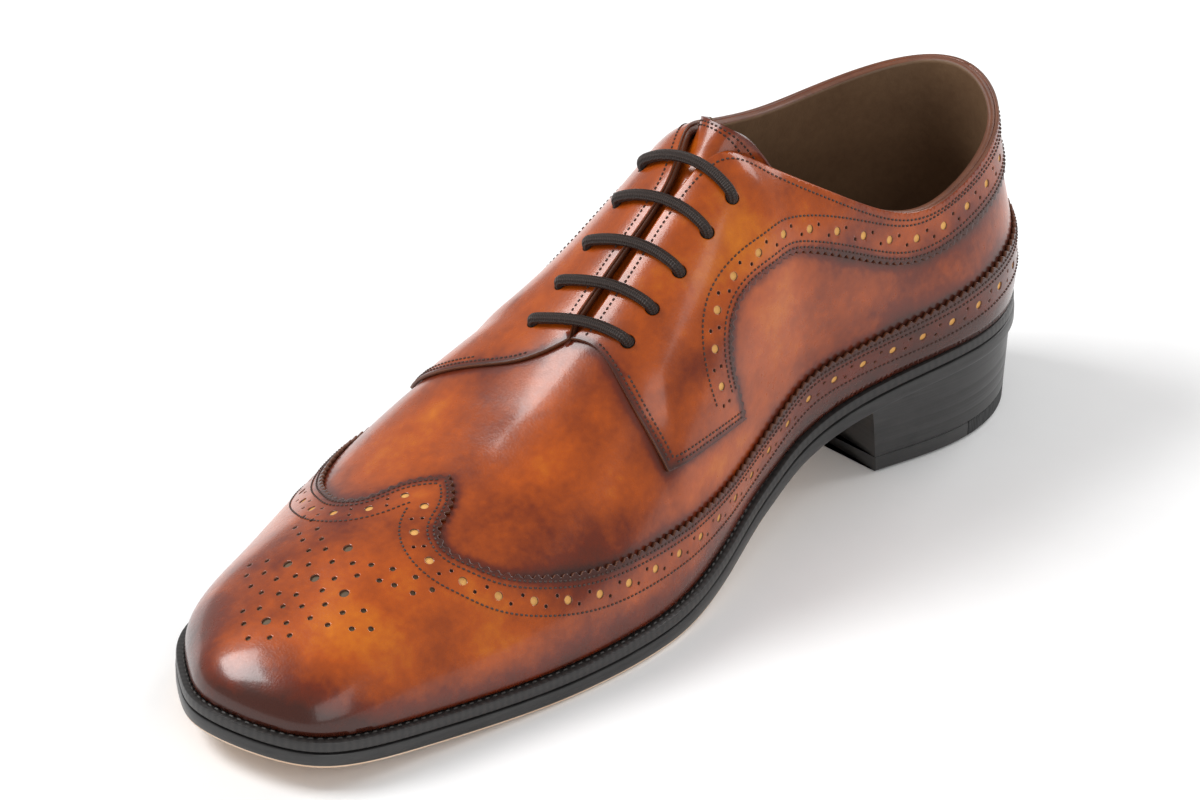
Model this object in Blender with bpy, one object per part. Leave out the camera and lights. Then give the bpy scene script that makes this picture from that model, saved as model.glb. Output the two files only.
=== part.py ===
"""Longwing derby brogue, right shoe, EU 43. Toe to -Y, heel to +Y, inner side to +X, floor at z = 0.

Sizes are in millimetres, turned to metres where the meshes are made. "Along" is measured from the
back of the heel towards the toe. Every skin of the shoe is one function of reach and rise: reach
runs from 0 at the toe tip to 1 at the heel back, positive on the inner side and negative on the
outer side, and rise runs from 0 at the feather line, where the upper meets the welt, to 1 at the
top line.
"""
import bmesh
import bpy
import numpy as np
from mathutils import Vector
from mathutils.geometry import delaunay_2d_cdt

# Driving dimensions
LENGTH = 306.0
OUTSOLE = 4.6
WELT = 3.6
HEEL = 25.3
TOE_SPRING = 8.2
TOP_PIECE = 5.0
WALL = 2.0
OVERLAY = 1.3
TONGUE = 2.4
INSOLE = 5.0
FOOT_CLEAR = 0.6
LACE = 3.2
LACE_CLEAR = 0.5
LACE_POINTS = 11
HOLE_OUT = 14.6
TONGUE_CLEAR = 0.7
GAP = 0.3

# Where the sole leaves the floor and where it lands again, along the shoe
ARCH_BACK = 40.3
ARCH_FRONT = 178.5
SPRING_START = 212.0
SPRING_POWER = 1.8

# Heel block: breast line, its hollow, and how far the sides stand in at the top and at the floor
BREAST = 75.0
BREAST_HOLLOW = 2.5
BREAST_RAKE = 3.0
HEEL_INSET_TOP = 1.2
HEEL_INSET_FLOOR = 2.8
HEEL_SPLIT = 36.0
HEEL_SPLIT_SKEW = 7.0
HEEL_SIDE_POINTS = 15
BREAST_POINTS = 7

THROAT = 172.0
THROAT_ROUND = 7.0
MM = 0.001

# The net over the upper: how far reach and rise run in millimetres, how near a point may stand to a
# panel's edge, the rise at which overlays start off the welt, and the reach at which they stop short
# of the seam at the heel
NET_SPAN = np.array([360.0, 75.0])
NET_CLEAR = 2.6
OVERLAY_FOOT = 0.008
HEEL_SEAM = 0.9994

# Height of the ridge of the vamp and instep above the floor
RIDGE = np.array([
    # along, height
    (288.0, 25.0),
    (270.0, 35.5),
    (252.0, 42.2),
    (233.0, 46.0),
    (216.0, 49.5),
    (200.0, 56.0),
    (186.0, 64.0),
    (170.0, 74.0),
    (147.0, 92.0),
    (124.0, 110.5),
    (100.0, 128.0),
])

# One row for each section of the last, from the toe tip to the heel back. The sole stands inner and
# outer from the centre line. The top line lies at top_along, mid to the side, open wide, and stands
# on the ridge where top_z is 0. rise_in, rise_out and flare lift the section off the feather,
# side_in, side_out and drop round it under the top line.
ROWS = np.array([
    # along inner outer margin top_along mid open top_z skew rise_in rise_out flare side_in side_out drop
    (306.0, 4.0, -4.0, 4.0, 262.0, 4.0, 2.5, 0.0, 0.0, 12.5, 12.5, 2.0, 17.0, 17.0, 0.0),
    (299.0, 29.8, 14.7, 4.0, 259.0, 4.0, 2.5, 0.0, 0.0, 12.5, 12.0, 2.0, 17.0, 17.0, 0.0),
    (284.0, 39.9, 32.0, 4.0, 250.0, 4.0, 2.5, 0.0, 0.0, 13.0, 13.0, 2.0, 19.0, 19.0, 0.0),
    (262.0, 43.9, 42.3, 4.0, 234.0, 4.0, 2.5, 0.0, 0.0, 15.0, 16.0, 2.0, 23.0, 25.0, 0.0),
    (235.0, 48.0, 52.0, 4.0, 216.0, 4.0, 2.5, 0.0, 0.0, 18.0, 20.0, 2.0, 26.0, 33.0, 0.0),
    (205.0, 51.2, 57.0, 4.0, 196.0, 4.0, 2.5, 0.0, 0.0, 22.0, 28.0, 2.0, 28.0, 38.0, 0.0),
    (172.0, 49.1, 54.0, 4.0, 172.0, 4.0, 2.5, 0.0, 0.0, 29.0, 35.0, 2.0, 28.0, 36.0, 0.0),
    (142.0, 39.4, 47.0, 3.6, 146.0, 3.8, 2.3, 0.0, 0.0, 34.0, 33.0, 4.5, 26.0, 28.0, 0.0),
    (126.0, 33.2, 42.6, 3.3, 129.0, 3.5, 2.8, 0.0, 0.0, 34.5, 33.5, 6.2, 24.0, 25.0, 1.5),
    (116.0, 30.2, 39.8, 3.1, 120.0, 2.3, 6.0, 112.5, 0.0, 34.5, 34.0, 7.0, 21.5, 22.5, 4.5),
    (102.0, 27.0, 36.9, 2.9, 109.5, 1.9, 11.5, 110.0, 1.5, 32.0, 31.0, 8.5, 15.0, 15.5, 10.0),
    (86.0, 27.0, 35.4, 2.7, 92.0, 1.0, 20.0, 100.0, 2.8, 26.0, 26.0, 9.0, 9.0, 9.0, 19.0),
    (68.0, 30.5, 34.6, 2.4, 70.0, 0.0, 26.0, 89.0, 5.5, 22.0, 22.0, 7.0, 5.0, 5.0, 22.0),
    (40.0, 34.5, 34.5, 2.0, 44.0, 0.0, 27.5, 86.0, 5.5, 20.0, 20.0, 5.0, 3.0, 3.0, 20.0),
    (14.0, 25.5, 25.5, 2.0, 19.0, 0.0, 20.0, 91.5, 2.5, 20.0, 20.0, 4.0, 2.0, 2.0, 22.0),
    (0.0, 0.0, 0.0, 2.0, 9.0, 0.0, 0.0, 97.0, 0.0, 20.0, 20.0, 4.0, 1.0, 1.0, 24.0),
])
(ALONG, INNER, OUTER, MARGIN, TOP_ALONG, MID, OPEN, TOP_Z, SKEW, RISE_IN, RISE_OUT, FLARE,
 SIDE_IN, SIDE_OUT, DROP) = range(15)

# Edge of the wing cap: its peak on the ridge, the notch, then the long wing back to the heel
WING_EDGE = [
    # reach, rise
    (0.272, 1.0),
    (0.264, 0.95),
    (0.239, 0.865),
    (0.214, 0.79),
    (0.216, 0.735),
    (0.234, 0.65),
    (0.270, 0.53),
    (0.312, 0.43),
    (0.363, 0.335),
    (0.427, 0.265),
    (0.505, 0.20),
    (0.575, 0.165),
    (0.633, 0.185),
    (0.705, 0.25),
    (0.762, 0.32),
    (0.823, 0.37),
    (0.917, 0.40),
    (1.0, 0.415),
]
# Edges of the facings: down the front from the slit to the lower corner, then the rear edge back
# under the collar to the heel seam
FACING_FRONT_INNER = [(0.4585, 1.0), (0.459, 0.93), (0.452, 0.79), (0.448, 0.66), (0.451, 0.535), (0.458, 0.41)]
FACING_FRONT_OUTER = [(0.4585, 1.0), (0.435, 0.955), (0.412, 0.88), (0.399, 0.75), (0.397, 0.58), (0.408, 0.41)]
FACING_REAR = [
    (0.508, 0.35),
    (0.563, 0.28),
    (0.555, 0.37),
    (0.552, 0.46),
    (0.559, 0.525),
    (0.583, 0.555),
    (0.625, 0.565),
    (0.672, 0.625),
    (0.717, 0.70),
    (0.762, 0.72),
    (0.823, 0.725),
    (0.917, 0.735),
    (1.0, 0.74),
]
# Bars of the lace, from the throat up: where they cross the slit, and how far they slant
LACE_BARS = [
    # along, slant
    (166.5, 3.3),
    (156.6, 2.7),
    (146.0, 2.4),
    (134.8, 1.9),
    (124.4, 1.6),
]
# The tongue above the last bar: where its sides lie inside the collar, and the crown of its arch
TONGUE_COLUMNS = 15
TONGUE_TOP_CLEAR = 1.3
TONGUE_TOP = [
    # reach, middle, along, height, spread
    (0.580, 3.4, 130.3, 102.2, 0.8),
    (0.598, 3.0, 125.3, 106.2, 1.2),
    (0.614, 2.5, 121.2, 109.3, 1.8),
    (0.632, 2.0, 117.9, 112.3, 3.0),
    (0.652, 1.8, 115.2, 114.6, 4.2),
    (0.670, 1.6, 113.0, 116.2, 5.2),
    (0.684, 1.5, 111.6, 117.2, 6.0),
]


def cyclic_spline(knots, values, at):
    """Cubic spline through values that repeats every 2 in reach, once round the shoe."""
    n = len(knots)
    step = np.diff(np.append(knots, knots[0] + 2.0))
    slope = (np.vstack([values[1:], values[:1]]) - values) / step[:, None]
    system = np.zeros((n, n))
    rows = np.arange(n)
    before = rows - 1
    system[rows, before] = step[before]
    system[rows, rows] = 2 * (step[before] + step)
    system[rows, (rows + 1) % n] = step
    bend = np.linalg.solve(system, 6 * (slope - slope[before]))
    at = (np.asarray(at, float) - knots[0]) % 2.0 + knots[0]
    i = np.clip(np.searchsorted(knots, at, side="right") - 1, 0, n - 1)
    j = (i + 1) % n
    t = (at - knots[i])[..., None]
    h = step[i][..., None]
    start = slope[i] - h * (2 * bend[i] + bend[j]) / 6
    return values[i] + start * t + bend[i] * t**2 / 2 + (bend[j] - bend[i]) * t**3 / (6 * h)


def natural_spline(xs, ys, at):
    """Cubic spline with free ends through a short table, x rising."""
    n = len(xs)
    step = np.diff(xs)
    slope = np.diff(ys) / step
    system = np.eye(n)
    turn = np.zeros(n)
    for i in range(1, n - 1):
        system[i, i - 1:i + 2] = step[i - 1], 2 * (step[i - 1] + step[i]), step[i]
        turn[i] = 6 * (slope[i] - slope[i - 1])
    bend = np.linalg.solve(system, turn)
    i = np.clip(np.searchsorted(xs, at) - 1, 0, n - 2)
    t = at - xs[i]
    h = step[i]
    start = slope[i] - h * (2 * bend[i] + bend[i + 1]) / 6
    return ys[i] + start * t + bend[i] * t**2 / 2 + (bend[i + 1] - bend[i]) * t**3 / (6 * h)


def ridge_height(along):
    return natural_spline(RIDGE[::-1, 0], RIDGE[::-1, 1], np.asarray(along, float))


def row_reach():
    """Reach of each row: its share of the way round, by the mean chord of both sides."""
    inner = np.diff(ROWS[:, [INNER, ALONG]], axis=0)
    outer = np.diff(ROWS[:, [OUTER, ALONG]] * (-1, 1), axis=0)
    chord = (np.linalg.norm(inner, axis=1) + np.linalg.norm(outer, axis=1)) / 2
    return np.concatenate([[0.0], np.cumsum(chord)]) / chord.sum()


def round_the_shoe(reach, inner, outer):
    """Columns of the rows, the outer side's in reverse and then the inner side's, as one spline."""
    at = row_reach()
    knots = np.concatenate([-at[1:-1][::-1], at])
    return cyclic_spline(knots, np.vstack([outer[1:-1][::-1], inner]), reach)


def outline(reach):
    """Edge of the sole: x and along."""
    return round_the_shoe(reach, ROWS[:, [INNER, ALONG]], ROWS[:, [OUTER, ALONG]] * (-1, 1))


def outward(reach):
    """Level unit vector that points out of the sole's edge."""
    reach = np.asarray(reach, float)
    way = outline(reach + 1e-4) - outline(reach - 1e-4)
    way /= np.linalg.norm(way, axis=-1, keepdims=True)
    return np.stack([-way[..., 1], way[..., 0]], -1)


def inset(reach, by):
    """The sole's edge moved inwards."""
    return outline(reach) - outward(reach) * np.asarray(by, float)[..., None]


def ease(x):
    x = np.clip(x, 0, 1)
    return x * x * (3 - 2 * x)


def sole_bottom(along):
    """Height of the outsole's lower face: heel, arch, flat tread and toe spring."""
    arch = HEEL * (1 - ease((along - ARCH_BACK) / (ARCH_FRONT - ARCH_BACK)))
    ahead = np.clip((along - SPRING_START) / (LENGTH - SPRING_START), 0, 1.2)
    return arch + TOE_SPRING * ahead**SPRING_POWER


def margin(reach):
    """How far the feather line lies inside the sole's edge."""
    return round_the_shoe(reach, ROWS[:, [MARGIN]], ROWS[:, [MARGIN]])[..., 0]


def last_surface(reach, rise):
    """Outer face of the upper: each section is a cubic curve from the feather to the top line."""
    reach = np.asarray(reach, float)
    rise = np.asarray(rise, float)[..., None]
    on_ridge = ROWS[:, TOP_Z] == 0
    at = ROWS[:, TOP_ALONG]
    top_z = np.where(on_ridge, ridge_height(at), ROWS[:, TOP_Z])
    fall = np.where(on_ridge, ridge_height(at + 0.5) - ridge_height(at - 0.5), 0.0)
    shared = np.c_[ROWS[:, [MARGIN, FLARE, DROP, TOP_ALONG, MID]], top_z, fall]
    handed = ROWS[:, [OPEN, SKEW]]
    inner = np.c_[shared, handed, ROWS[:, [RISE_IN, SIDE_IN]]]
    outer = np.c_[shared, -handed, ROWS[:, [RISE_OUT, SIDE_OUT]]]
    columns = np.moveaxis(round_the_shoe(reach, inner, outer), -1, 0)
    edge, flare, drop, along, mid, top, slope, wide, skew, lift, side = columns
    parted = ease((THROAT - along) / THROAT_ROUND)
    out = outward(reach)
    foot = outline(reach) - out * edge[..., None]
    out = np.stack([out[..., 0], out[..., 1], 0 * edge], -1)
    up = np.array([0.0, 0.0, 1.0])
    feather = sole_bottom(foot[..., 1]) + OUTSOLE + WELT + GAP
    start = np.stack([foot[..., 0], foot[..., 1], feather], -1)
    end = np.stack([mid + parted * wide, along, top - parted * skew], -1)
    low = start + out * flare[..., None] + up * lift[..., None]
    high = end + out * side[..., None] + up * (side * out[..., 1] * slope - drop)[..., None]
    rest = 1 - rise
    return rest**3 * start + 3 * rest**2 * rise * low + 3 * rest * rise**2 * high + rise**3 * end


def last_normal(reach, rise):
    """Unit vector out of the upper's face, the mean of both sides along the closed ridge."""
    reach = np.asarray(reach, float)
    rise = np.asarray(rise, float)

    def one_side(at):
        step = 1e-3
        along = last_surface(at + step, rise) - last_surface(at - step, rise)
        up = last_surface(at, np.minimum(rise + step, 1)) - last_surface(at, np.maximum(rise - step, 0))
        n = np.cross(up, along)
        return n / np.linalg.norm(n, axis=-1, keepdims=True)

    closed = (rise > 0.999) & (np.abs(reach) < 0.45)
    rise = np.where(closed, 0.97, rise)
    n = one_side(reach)
    n[closed] += one_side(-reach)[closed]
    return n / np.linalg.norm(n, axis=-1, keepdims=True)


def lifted(reach, rise, by):
    """The upper's face moved out by a distance."""
    return last_surface(reach, rise) + last_normal(reach, rise) * by


def to_metres(points):
    """x, along and height in millimetres to metres in the part's frame."""
    points = np.asarray(points, float)
    return np.stack([points[..., 0], LENGTH / 2 - points[..., 1], points[..., 2]], -1) * MM


def plain_material(name, colour, roughness):
    material = bpy.data.materials.new(name)
    material.use_nodes = True
    shader = material.node_tree.nodes["Principled BSDF"]
    shader.inputs["Base Color"].default_value = (*colour, 1.0)
    shader.inputs["Roughness"].default_value = roughness
    shader.inputs["Metallic"].default_value = 0.0
    material.diffuse_color = (*colour, 1.0)
    return material


def new_object(name, points, faces, material, weld=False):
    """A mesh object from points in millimetres, with its faces turned out."""
    mesh = bpy.data.meshes.new(name)
    mesh.from_pydata(to_metres(points).tolist(), [], [list(map(int, face)) for face in faces])
    work = bmesh.new()
    work.from_mesh(mesh)
    if weld:
        bmesh.ops.remove_doubles(work, verts=work.verts, dist=1e-6)
    bmesh.ops.recalc_face_normals(work, faces=work.faces)
    work.to_mesh(mesh)
    work.free()
    mesh.materials.append(material)
    part = bpy.data.objects.new(name, mesh)
    bpy.context.collection.objects.link(part)
    mesh.shade_smooth()
    mesh.set_sharp_from_angle(angle=np.radians(35))
    return part


def stations():
    """Reach of the sections of the net, close together at the toe, the collar's corner and the heel."""
    toe = np.linspace(0.0, 0.2, 9)[:-1]
    vamp = np.linspace(0.2, 0.56, 12)[:-1]
    corner = np.linspace(0.56, 0.70, 10)[:-1]
    quarter = np.linspace(0.70, 0.8, 4)[:-1]
    heel = np.linspace(0.8, 1.0, 9)
    return np.concatenate([toe, vamp, corner, quarter, heel])


def curve_through(points, pieces):
    """A smooth line through reach and rise points, with a few pieces between each two."""
    points = np.array(points)
    chord = np.linalg.norm(np.diff(points, axis=0) * NET_SPAN, axis=1)
    at = np.concatenate([[0.0], np.cumsum(chord)])
    fine = np.concatenate([np.linspace(a, b, pieces, endpoint=False) for a, b in zip(at[:-1], at[1:])])
    fine = np.append(fine, at[-1])
    return np.stack([natural_spline(at, points[:, 0], fine), natural_spline(at, points[:, 1], fine)], -1)


def facing_outline(front):
    """Closed outline of a facing: top line, slit, front edge, lower corner, rear edge."""
    rear = curve_through(FACING_REAR[1:], 2)
    return np.vstack([curve_through(front, 1), FACING_REAR[:1], rear, [(1.0, 1.0)]])


def inside(points, ring):
    """Even-odd test of points in a closed ring."""
    x, y = points[:, :1], points[:, 1:]
    ax, ay = ring[:, 0], ring[:, 1]
    bx, by = np.roll(ax, -1), np.roll(ay, -1)
    spans = (ay > y) != (by > y)
    rise = np.where(by == ay, 1.0, by - ay)
    return (spans & (x < ax + (bx - ax) * (y - ay) / rise)).sum(1) % 2 == 1


def from_line(points, line):
    """Least distance of points to a line of straight pieces."""
    start = line[:-1]
    piece = line[1:] - start
    reach = points[:, None] - start
    share = np.clip((reach * piece).sum(-1) / (piece ** 2).sum(-1), 0.0, 1.0)
    return np.linalg.norm(reach - share[..., None] * piece, axis=-1).min(axis=1)


def half_net(front):
    """Triangles over one side in reach and rise, with edges along the wing's and facing's outlines."""
    across = stations()
    up = np.linspace(0.0, 1.0, 11)
    wing = curve_through(WING_EDGE, 2)
    facing = facing_outline(front)
    lines = [np.clip(wing, 0, 1), np.clip(facing, 0, 1)]
    grid = np.stack(np.meshgrid(across, up, indexing="ij"), -1).reshape(-1, 2)
    apart = np.minimum(from_line(grid * NET_SPAN, lines[0] * NET_SPAN),
                       from_line(grid * NET_SPAN, lines[1] * NET_SPAN))
    rim = (grid[:, 0] == 0) | (grid[:, 0] == 1) | (grid[:, 1] == 0) | (grid[:, 1] == 1)
    grid = grid[(apart > NET_CLEAR) | (rim & (apart > NET_CLEAR / 2))]
    points = [Vector(place * NET_SPAN) for place in np.vstack([grid] + lines)]
    edges = []
    first = len(grid)
    for line in lines:
        edges += [(first + i, first + i + 1) for i in range(len(line) - 1)]
        first += len(line)
    found = delaunay_2d_cdt(points, edges, [], 0, 1e-3)
    net = np.array([tuple(place) for place in found[0]]) / NET_SPAN
    triangles = np.array([face for face in found[2] if len(face) == 3])
    middle = net[triangles].mean(axis=1)
    wing_ring = np.vstack([wing, [(1.01, -0.01), (-0.01, -0.01), (-0.01, 1.01), (WING_EDGE[0][0], 1.01)]])
    return net, triangles, inside(middle, wing_ring), inside(middle, facing)


def both_nets():
    """The inner and outer side's nets with signed reach."""
    inner = half_net(FACING_FRONT_INNER)
    outer = half_net(FACING_FRONT_OUTER)
    return inner, (outer[0] * (-1, 1), outer[1], outer[2], outer[3])


def heel_seam(net):
    """The net with its heel edge drawn back by half a gap, for pieces that meet at the heel seam."""
    return np.clip(net, (-HEEL_SEAM, 0), (HEEL_SEAM, 1))


def sheet(name, patches, lift, thickness, material):
    """Patches of the net, lifted off the upper's face and given a thickness, inward if negative."""
    lowest = OVERLAY_FOOT if thickness > 0 else 0.0
    points = []
    faces = []
    for net, triangles in patches:
        base = len(points)
        points += list(lifted(net[:, 0], np.maximum(net[:, 1], lowest), lift))
        faces += [tuple(base + corner for corner in triangle) for triangle in triangles]
    used = sorted({corner for face in faces for corner in face})
    place = {corner: i for i, corner in enumerate(used)}
    points = np.array(points)[used]
    faces = [tuple(place[corner] for corner in face) for face in faces]
    part = new_object(name, points, faces, material, weld=True)
    face_outwards(part)
    wall = part.modifiers.new("Wall", "SOLIDIFY")
    wall.thickness = abs(thickness) * MM
    wall.offset = 1.0 if thickness > 0 else -1.0
    wall.use_quality_normals = True
    return part


def face_outwards(part):
    """Turns an open sheet so that its faces look away from the inside of the shoe."""
    centre = to_metres([(0.0, 150.0, 30.0)])[0]
    mesh = part.data
    facing = sum((face.center - Vector(centre)).dot(face.normal) * face.area for face in mesh.polygons)
    if facing < 0:
        mesh.flip_normals()


def loft(name, rings, material, closed=False):
    """Rings joined one to the next. Open lofts get ladder caps, closed ones join back to the first."""
    count = len(rings[0])
    points = np.vstack(rings)
    pairs = [(k, k + 1) for k in range(len(rings) - 1)]
    if closed:
        pairs.append((len(rings) - 1, 0))
    faces = []
    for low, high in pairs:
        for i in range(count):
            j = (i + 1) % count
            faces.append((low * count + i, low * count + j, high * count + j, high * count + i))
    if not closed:
        for base in (0, (len(rings) - 1) * count):
            faces += [[base + i for i in rung] for rung in ladder(count)]
    return new_object(name, points, faces, material)


def ladder(count):
    """Faces that cross a plate from each point of its edge to the one opposite."""
    rungs = [(0, 1, count - 1)]
    rungs += [(i, i + 1, count - i - 1, count - i) for i in range(1, count // 2 - 1)]
    half = count // 2
    rungs.append((half - 1, half, half + 1))
    return rungs


def sole_reach():
    """Reach once round the sole from the heel back by the outer side."""
    half = stations()
    return np.concatenate([-half[1:][::-1], half[:-1]])


def level_ring(reach, by, lift):
    """The sole's edge moved in by a distance and lifted off the outsole's lower face."""
    edge = inset(reach, np.broadcast_to(by, np.shape(reach)))
    return np.c_[edge, sole_bottom(edge[:, 1]) + lift]


def make_outsole(material):
    reach = sole_reach()
    rings = [level_ring(reach, by, lift) for by, lift in (
        (1.0, 0.0), (0.0, 0.9), (0.0, OUTSOLE - 0.7), (0.7, OUTSOLE))]
    return loft("outsole", rings, material)


def make_welt(material):
    """Ring on the outsole's edge that carries the upper's feather line."""
    reach = sole_reach()
    inner_edge = margin(reach) + WALL + FOOT_CLEAR
    base = OUTSOLE + GAP
    top = OUTSOLE + WELT
    rings = [level_ring(reach, by, lift) for by, lift in (
        (0.9, base), (0.2, base + 0.7), (0.2, top - 0.8), (1.0, top), (inner_edge, top), (inner_edge, base))]
    return loft("welt", rings, material, closed=True)


def make_insole(material):
    """Footbed inside the welt, on the outsole."""
    reach = sole_reach()
    edge = margin(reach) + WALL + FOOT_CLEAR + GAP
    base = OUTSOLE + GAP
    rings = [level_ring(reach, edge, base), level_ring(reach, edge, base + INSOLE - 0.8),
             level_ring(reach, edge + 1.0, base + INSOLE)]
    return loft("insole", rings, material)


def heel_ring(height, top=None):
    """Outline of the heel block at a height, or with its top under the outsole."""
    share = height / HEEL
    by = HEEL_INSET_FLOOR + (HEEL_INSET_TOP - HEEL_INSET_FLOOR) * share
    breast = BREAST - BREAST_RAKE * (1 - share)
    half = np.linspace(0, 1, HEEL_SIDE_POINTS)
    sides = []
    for hand in (-1, 1):
        table = np.linspace(0.6, 1.0, 400) * hand
        corner = np.interp(-breast, -inset(table, np.full(400, by))[:, 1], table)
        sides.append(inset(corner + (hand - corner) * ease_out(half), np.full(HEEL_SIDE_POINTS, by)))
    outer, inner = sides
    across = np.linspace(outer[0], inner[0], BREAST_POINTS + 2)[1:-1]
    across[:, 1] -= BREAST_HOLLOW * np.sin(np.linspace(0, np.pi, BREAST_POINTS + 2))[1:-1]
    edge = np.vstack([outer[::-1], across, inner[:-1]])
    level = np.full(len(edge), height) if top is None else sole_bottom(edge[:, 1]) - GAP
    return np.c_[edge, level]


def ease_out(x):
    """Even steps along the side that close up a little towards the heel back."""
    return x * (1.35 - 0.35 * x)


def heel_block(name, rings, material):
    """Loft of heel rings: caps are ladders over the round part and one face behind the breast."""
    count = len(rings[0])
    side = HEEL_SIDE_POINTS - 1
    faces = []
    for k in range(len(rings) - 1):
        for i in range(count):
            j = (i + 1) % count
            faces.append((k * count + i, k * count + j, (k + 1) * count + j, (k + 1) * count + i))
    for base in (0, (len(rings) - 1) * count):
        faces.append([base + i for i in (0, 1, count - 1)])
        faces += [[base + i, base + i + 1, base + count - i - 1, base + count - i] for i in range(1, side)]
        faces.append([base + i for i in range(side, count - side + 1)])
    return new_object(name, np.vstack(rings), faces, material)


def make_heel(block, tread):
    """Stacked block under the seat, and a top piece parted by a slanting line."""
    parts = [heel_block("heel_block", [heel_ring(TOP_PIECE), heel_ring(HEEL, top=True)], block)]
    slope = Vector((HEEL_SPLIT_SKEW, 70.0, 0.0)).normalized()
    middle = Vector((0.0, LENGTH / 2 - HEEL_SPLIT, 0.0)) * MM
    for name, side in (("heel_rubber", 1), ("heel_front_lift", -1)):
        part = heel_block(name, [heel_ring(0.0), heel_ring(TOP_PIECE - GAP)], tread)
        work = bmesh.new()
        work.from_mesh(part.data)
        cut = bmesh.ops.bisect_plane(
            work, geom=work.verts[:] + work.edges[:] + work.faces[:], dist=1e-7,
            plane_co=middle + slope * side * GAP / 2 * MM, plane_no=slope * side, clear_inner=True)
        rim = [item for item in cut["geom_cut"] if isinstance(item, bmesh.types.BMEdge)]
        bmesh.ops.edgeloop_fill(work, edges=rim)
        bmesh.ops.recalc_face_normals(work, faces=work.faces)
        work.to_mesh(part.data)
        work.free()
        parts.append(part)
    return parts


def make_tongue(material):
    """Plate under the slit and the facings, hugging them from inside, then arched up over the collar."""
    rise = np.array([0.74, 0.83, 0.92, 0.985])
    across = np.linspace(0.0, 1.0, TONGUE_COLUMNS)

    def row_at(reach, clear, crown):
        inner = lifted(np.full(4, reach), rise, -(WALL + clear))
        outer = lifted(np.full(4, -reach), rise[::-1], -(WALL + clear))
        held = np.vstack([inner, crown, outer])
        chord = np.linalg.norm(np.diff(held, axis=0), axis=1)
        place = np.concatenate([[0.0], np.cumsum(chord)]) / chord.sum()
        return np.stack([natural_spline(place, held[:, axis], across) for axis in range(3)], -1)

    rows = [row_at(reach, TONGUE_CLEAR, np.empty((0, 3))) for reach in np.linspace(0.446, 0.56, 7)]
    for reach, middle, along, height, spread in TONGUE_TOP:
        crown = np.array([(middle + spread, along, height), (middle - spread, along, height)])
        rows.append(row_at(reach, TONGUE_TOP_CLEAR, crown))
    return slab("tongue", np.array(rows), TONGUE, material)


def slab(name, grid, thickness, material):
    """A grid of points given a thickness downwards, along its own normals."""
    along = np.gradient(grid, axis=0)
    across = np.gradient(grid, axis=1)
    down = np.cross(along, across)
    down /= np.linalg.norm(down, axis=-1, keepdims=True)
    down *= -np.sign(down[..., 2:].sum())
    rows, columns = grid.shape[:2]
    points = np.vstack([grid.reshape(-1, 3), (grid + down * thickness).reshape(-1, 3)])
    under = rows * columns
    faces = []
    for i in range(rows - 1):
        for j in range(columns - 1):
            a = i * columns + j
            quad = [a, a + 1, a + columns + 1, a + columns]
            faces.append(quad)
            faces.append([under + corner for corner in quad[::-1]])
    rim = [j for j in range(columns)] + [i * columns + columns - 1 for i in range(1, rows)]
    rim += [(rows - 1) * columns + j for j in range(columns - 2, -1, -1)]
    rim += [i * columns for i in range(rows - 2, 0, -1)]
    faces += [(a, b, under + b, under + a) for a, b in zip(rim, rim[1:] + rim[:1])]
    return new_object(name, points, faces, material)


def face_above(hand, x, along, lift):
    """Point of the lifted face on one side of the slit over a place in plan, by Newton's steps."""
    at = np.array([0.55, 0.85])
    for _ in range(12):
        here = lifted(np.array([hand * at[0]] * 3) + hand * np.array([0, 1e-3, 0]),
                      np.array([at[1]] * 3) + np.array([0, 0, -1e-3]), lift)
        miss = np.array([x, along]) - here[0, :2]
        slope = np.stack([(here[1, :2] - here[0, :2]) / 1e-3, (here[2, :2] - here[0, :2]) / -1e-3], -1)
        at = np.clip(at + np.linalg.solve(slope, miss), (0.42, 0.5), (0.66, 0.998))
    return lifted(np.array(hand * at[0]), np.array(at[1]), lift)


def lace_path(along, climb):
    """Middle line of a bar of lace, straight in plan, from its inner hole over the slit to its outer one."""
    lift = GAP + OVERLAY + LACE_CLEAR + LACE / 2
    centre = np.interp(along, ROWS[9:5:-1, TOP_ALONG], ROWS[9:5:-1, MID])
    share = np.array([1.0, 0.84, 0.68, 0.52])
    inner = [face_above(1, centre + HOLE_OUT * k, along - climb * k, lift) for k in share]
    outer = [face_above(-1, centre - HOLE_OUT * k, along + climb * k, lift) for k in share]
    held = np.vstack([inner, outer[::-1]])
    place = np.concatenate([share, -share[::-1]])
    across = np.linspace(1.0, -1.0, LACE_POINTS)
    return np.stack([natural_spline(place[::-1], held[::-1, axis], across) for axis in range(3)], -1)


def make_lace_bar(name, path, material):
    """Round lace along its path, closed at both holes."""
    path = to_metres(path)
    curve = bpy.data.curves.new(name, "CURVE")
    curve.dimensions = "3D"
    curve.bevel_depth = LACE / 2 * MM
    curve.bevel_resolution = 2
    curve.use_fill_caps = True
    line = curve.splines.new("POLY")
    line.points.add(len(path) - 1)
    for point, place in zip(line.points, path):
        point.co = (*place, 1.0)
    curve.materials.append(material)
    part = bpy.data.objects.new(name, curve)
    bpy.context.collection.objects.link(part)
    return part


def stand_on_origin(parts):
    """Moves every piece so that the box round all of them stands on the origin by its middle."""
    bpy.context.view_layer.update()
    graph = bpy.context.evaluated_depsgraph_get()
    corners = []
    for part in parts:
        mesh = part.evaluated_get(graph).to_mesh()
        corners += [vertex.co.copy() for vertex in mesh.vertices]
    corners = np.array(corners)
    low, high = corners.min(axis=0), corners.max(axis=0)
    shift = Vector((-(low[0] + high[0]) / 2, -(low[1] + high[1]) / 2, -low[2]))
    for part in parts:
        part.location = shift


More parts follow.
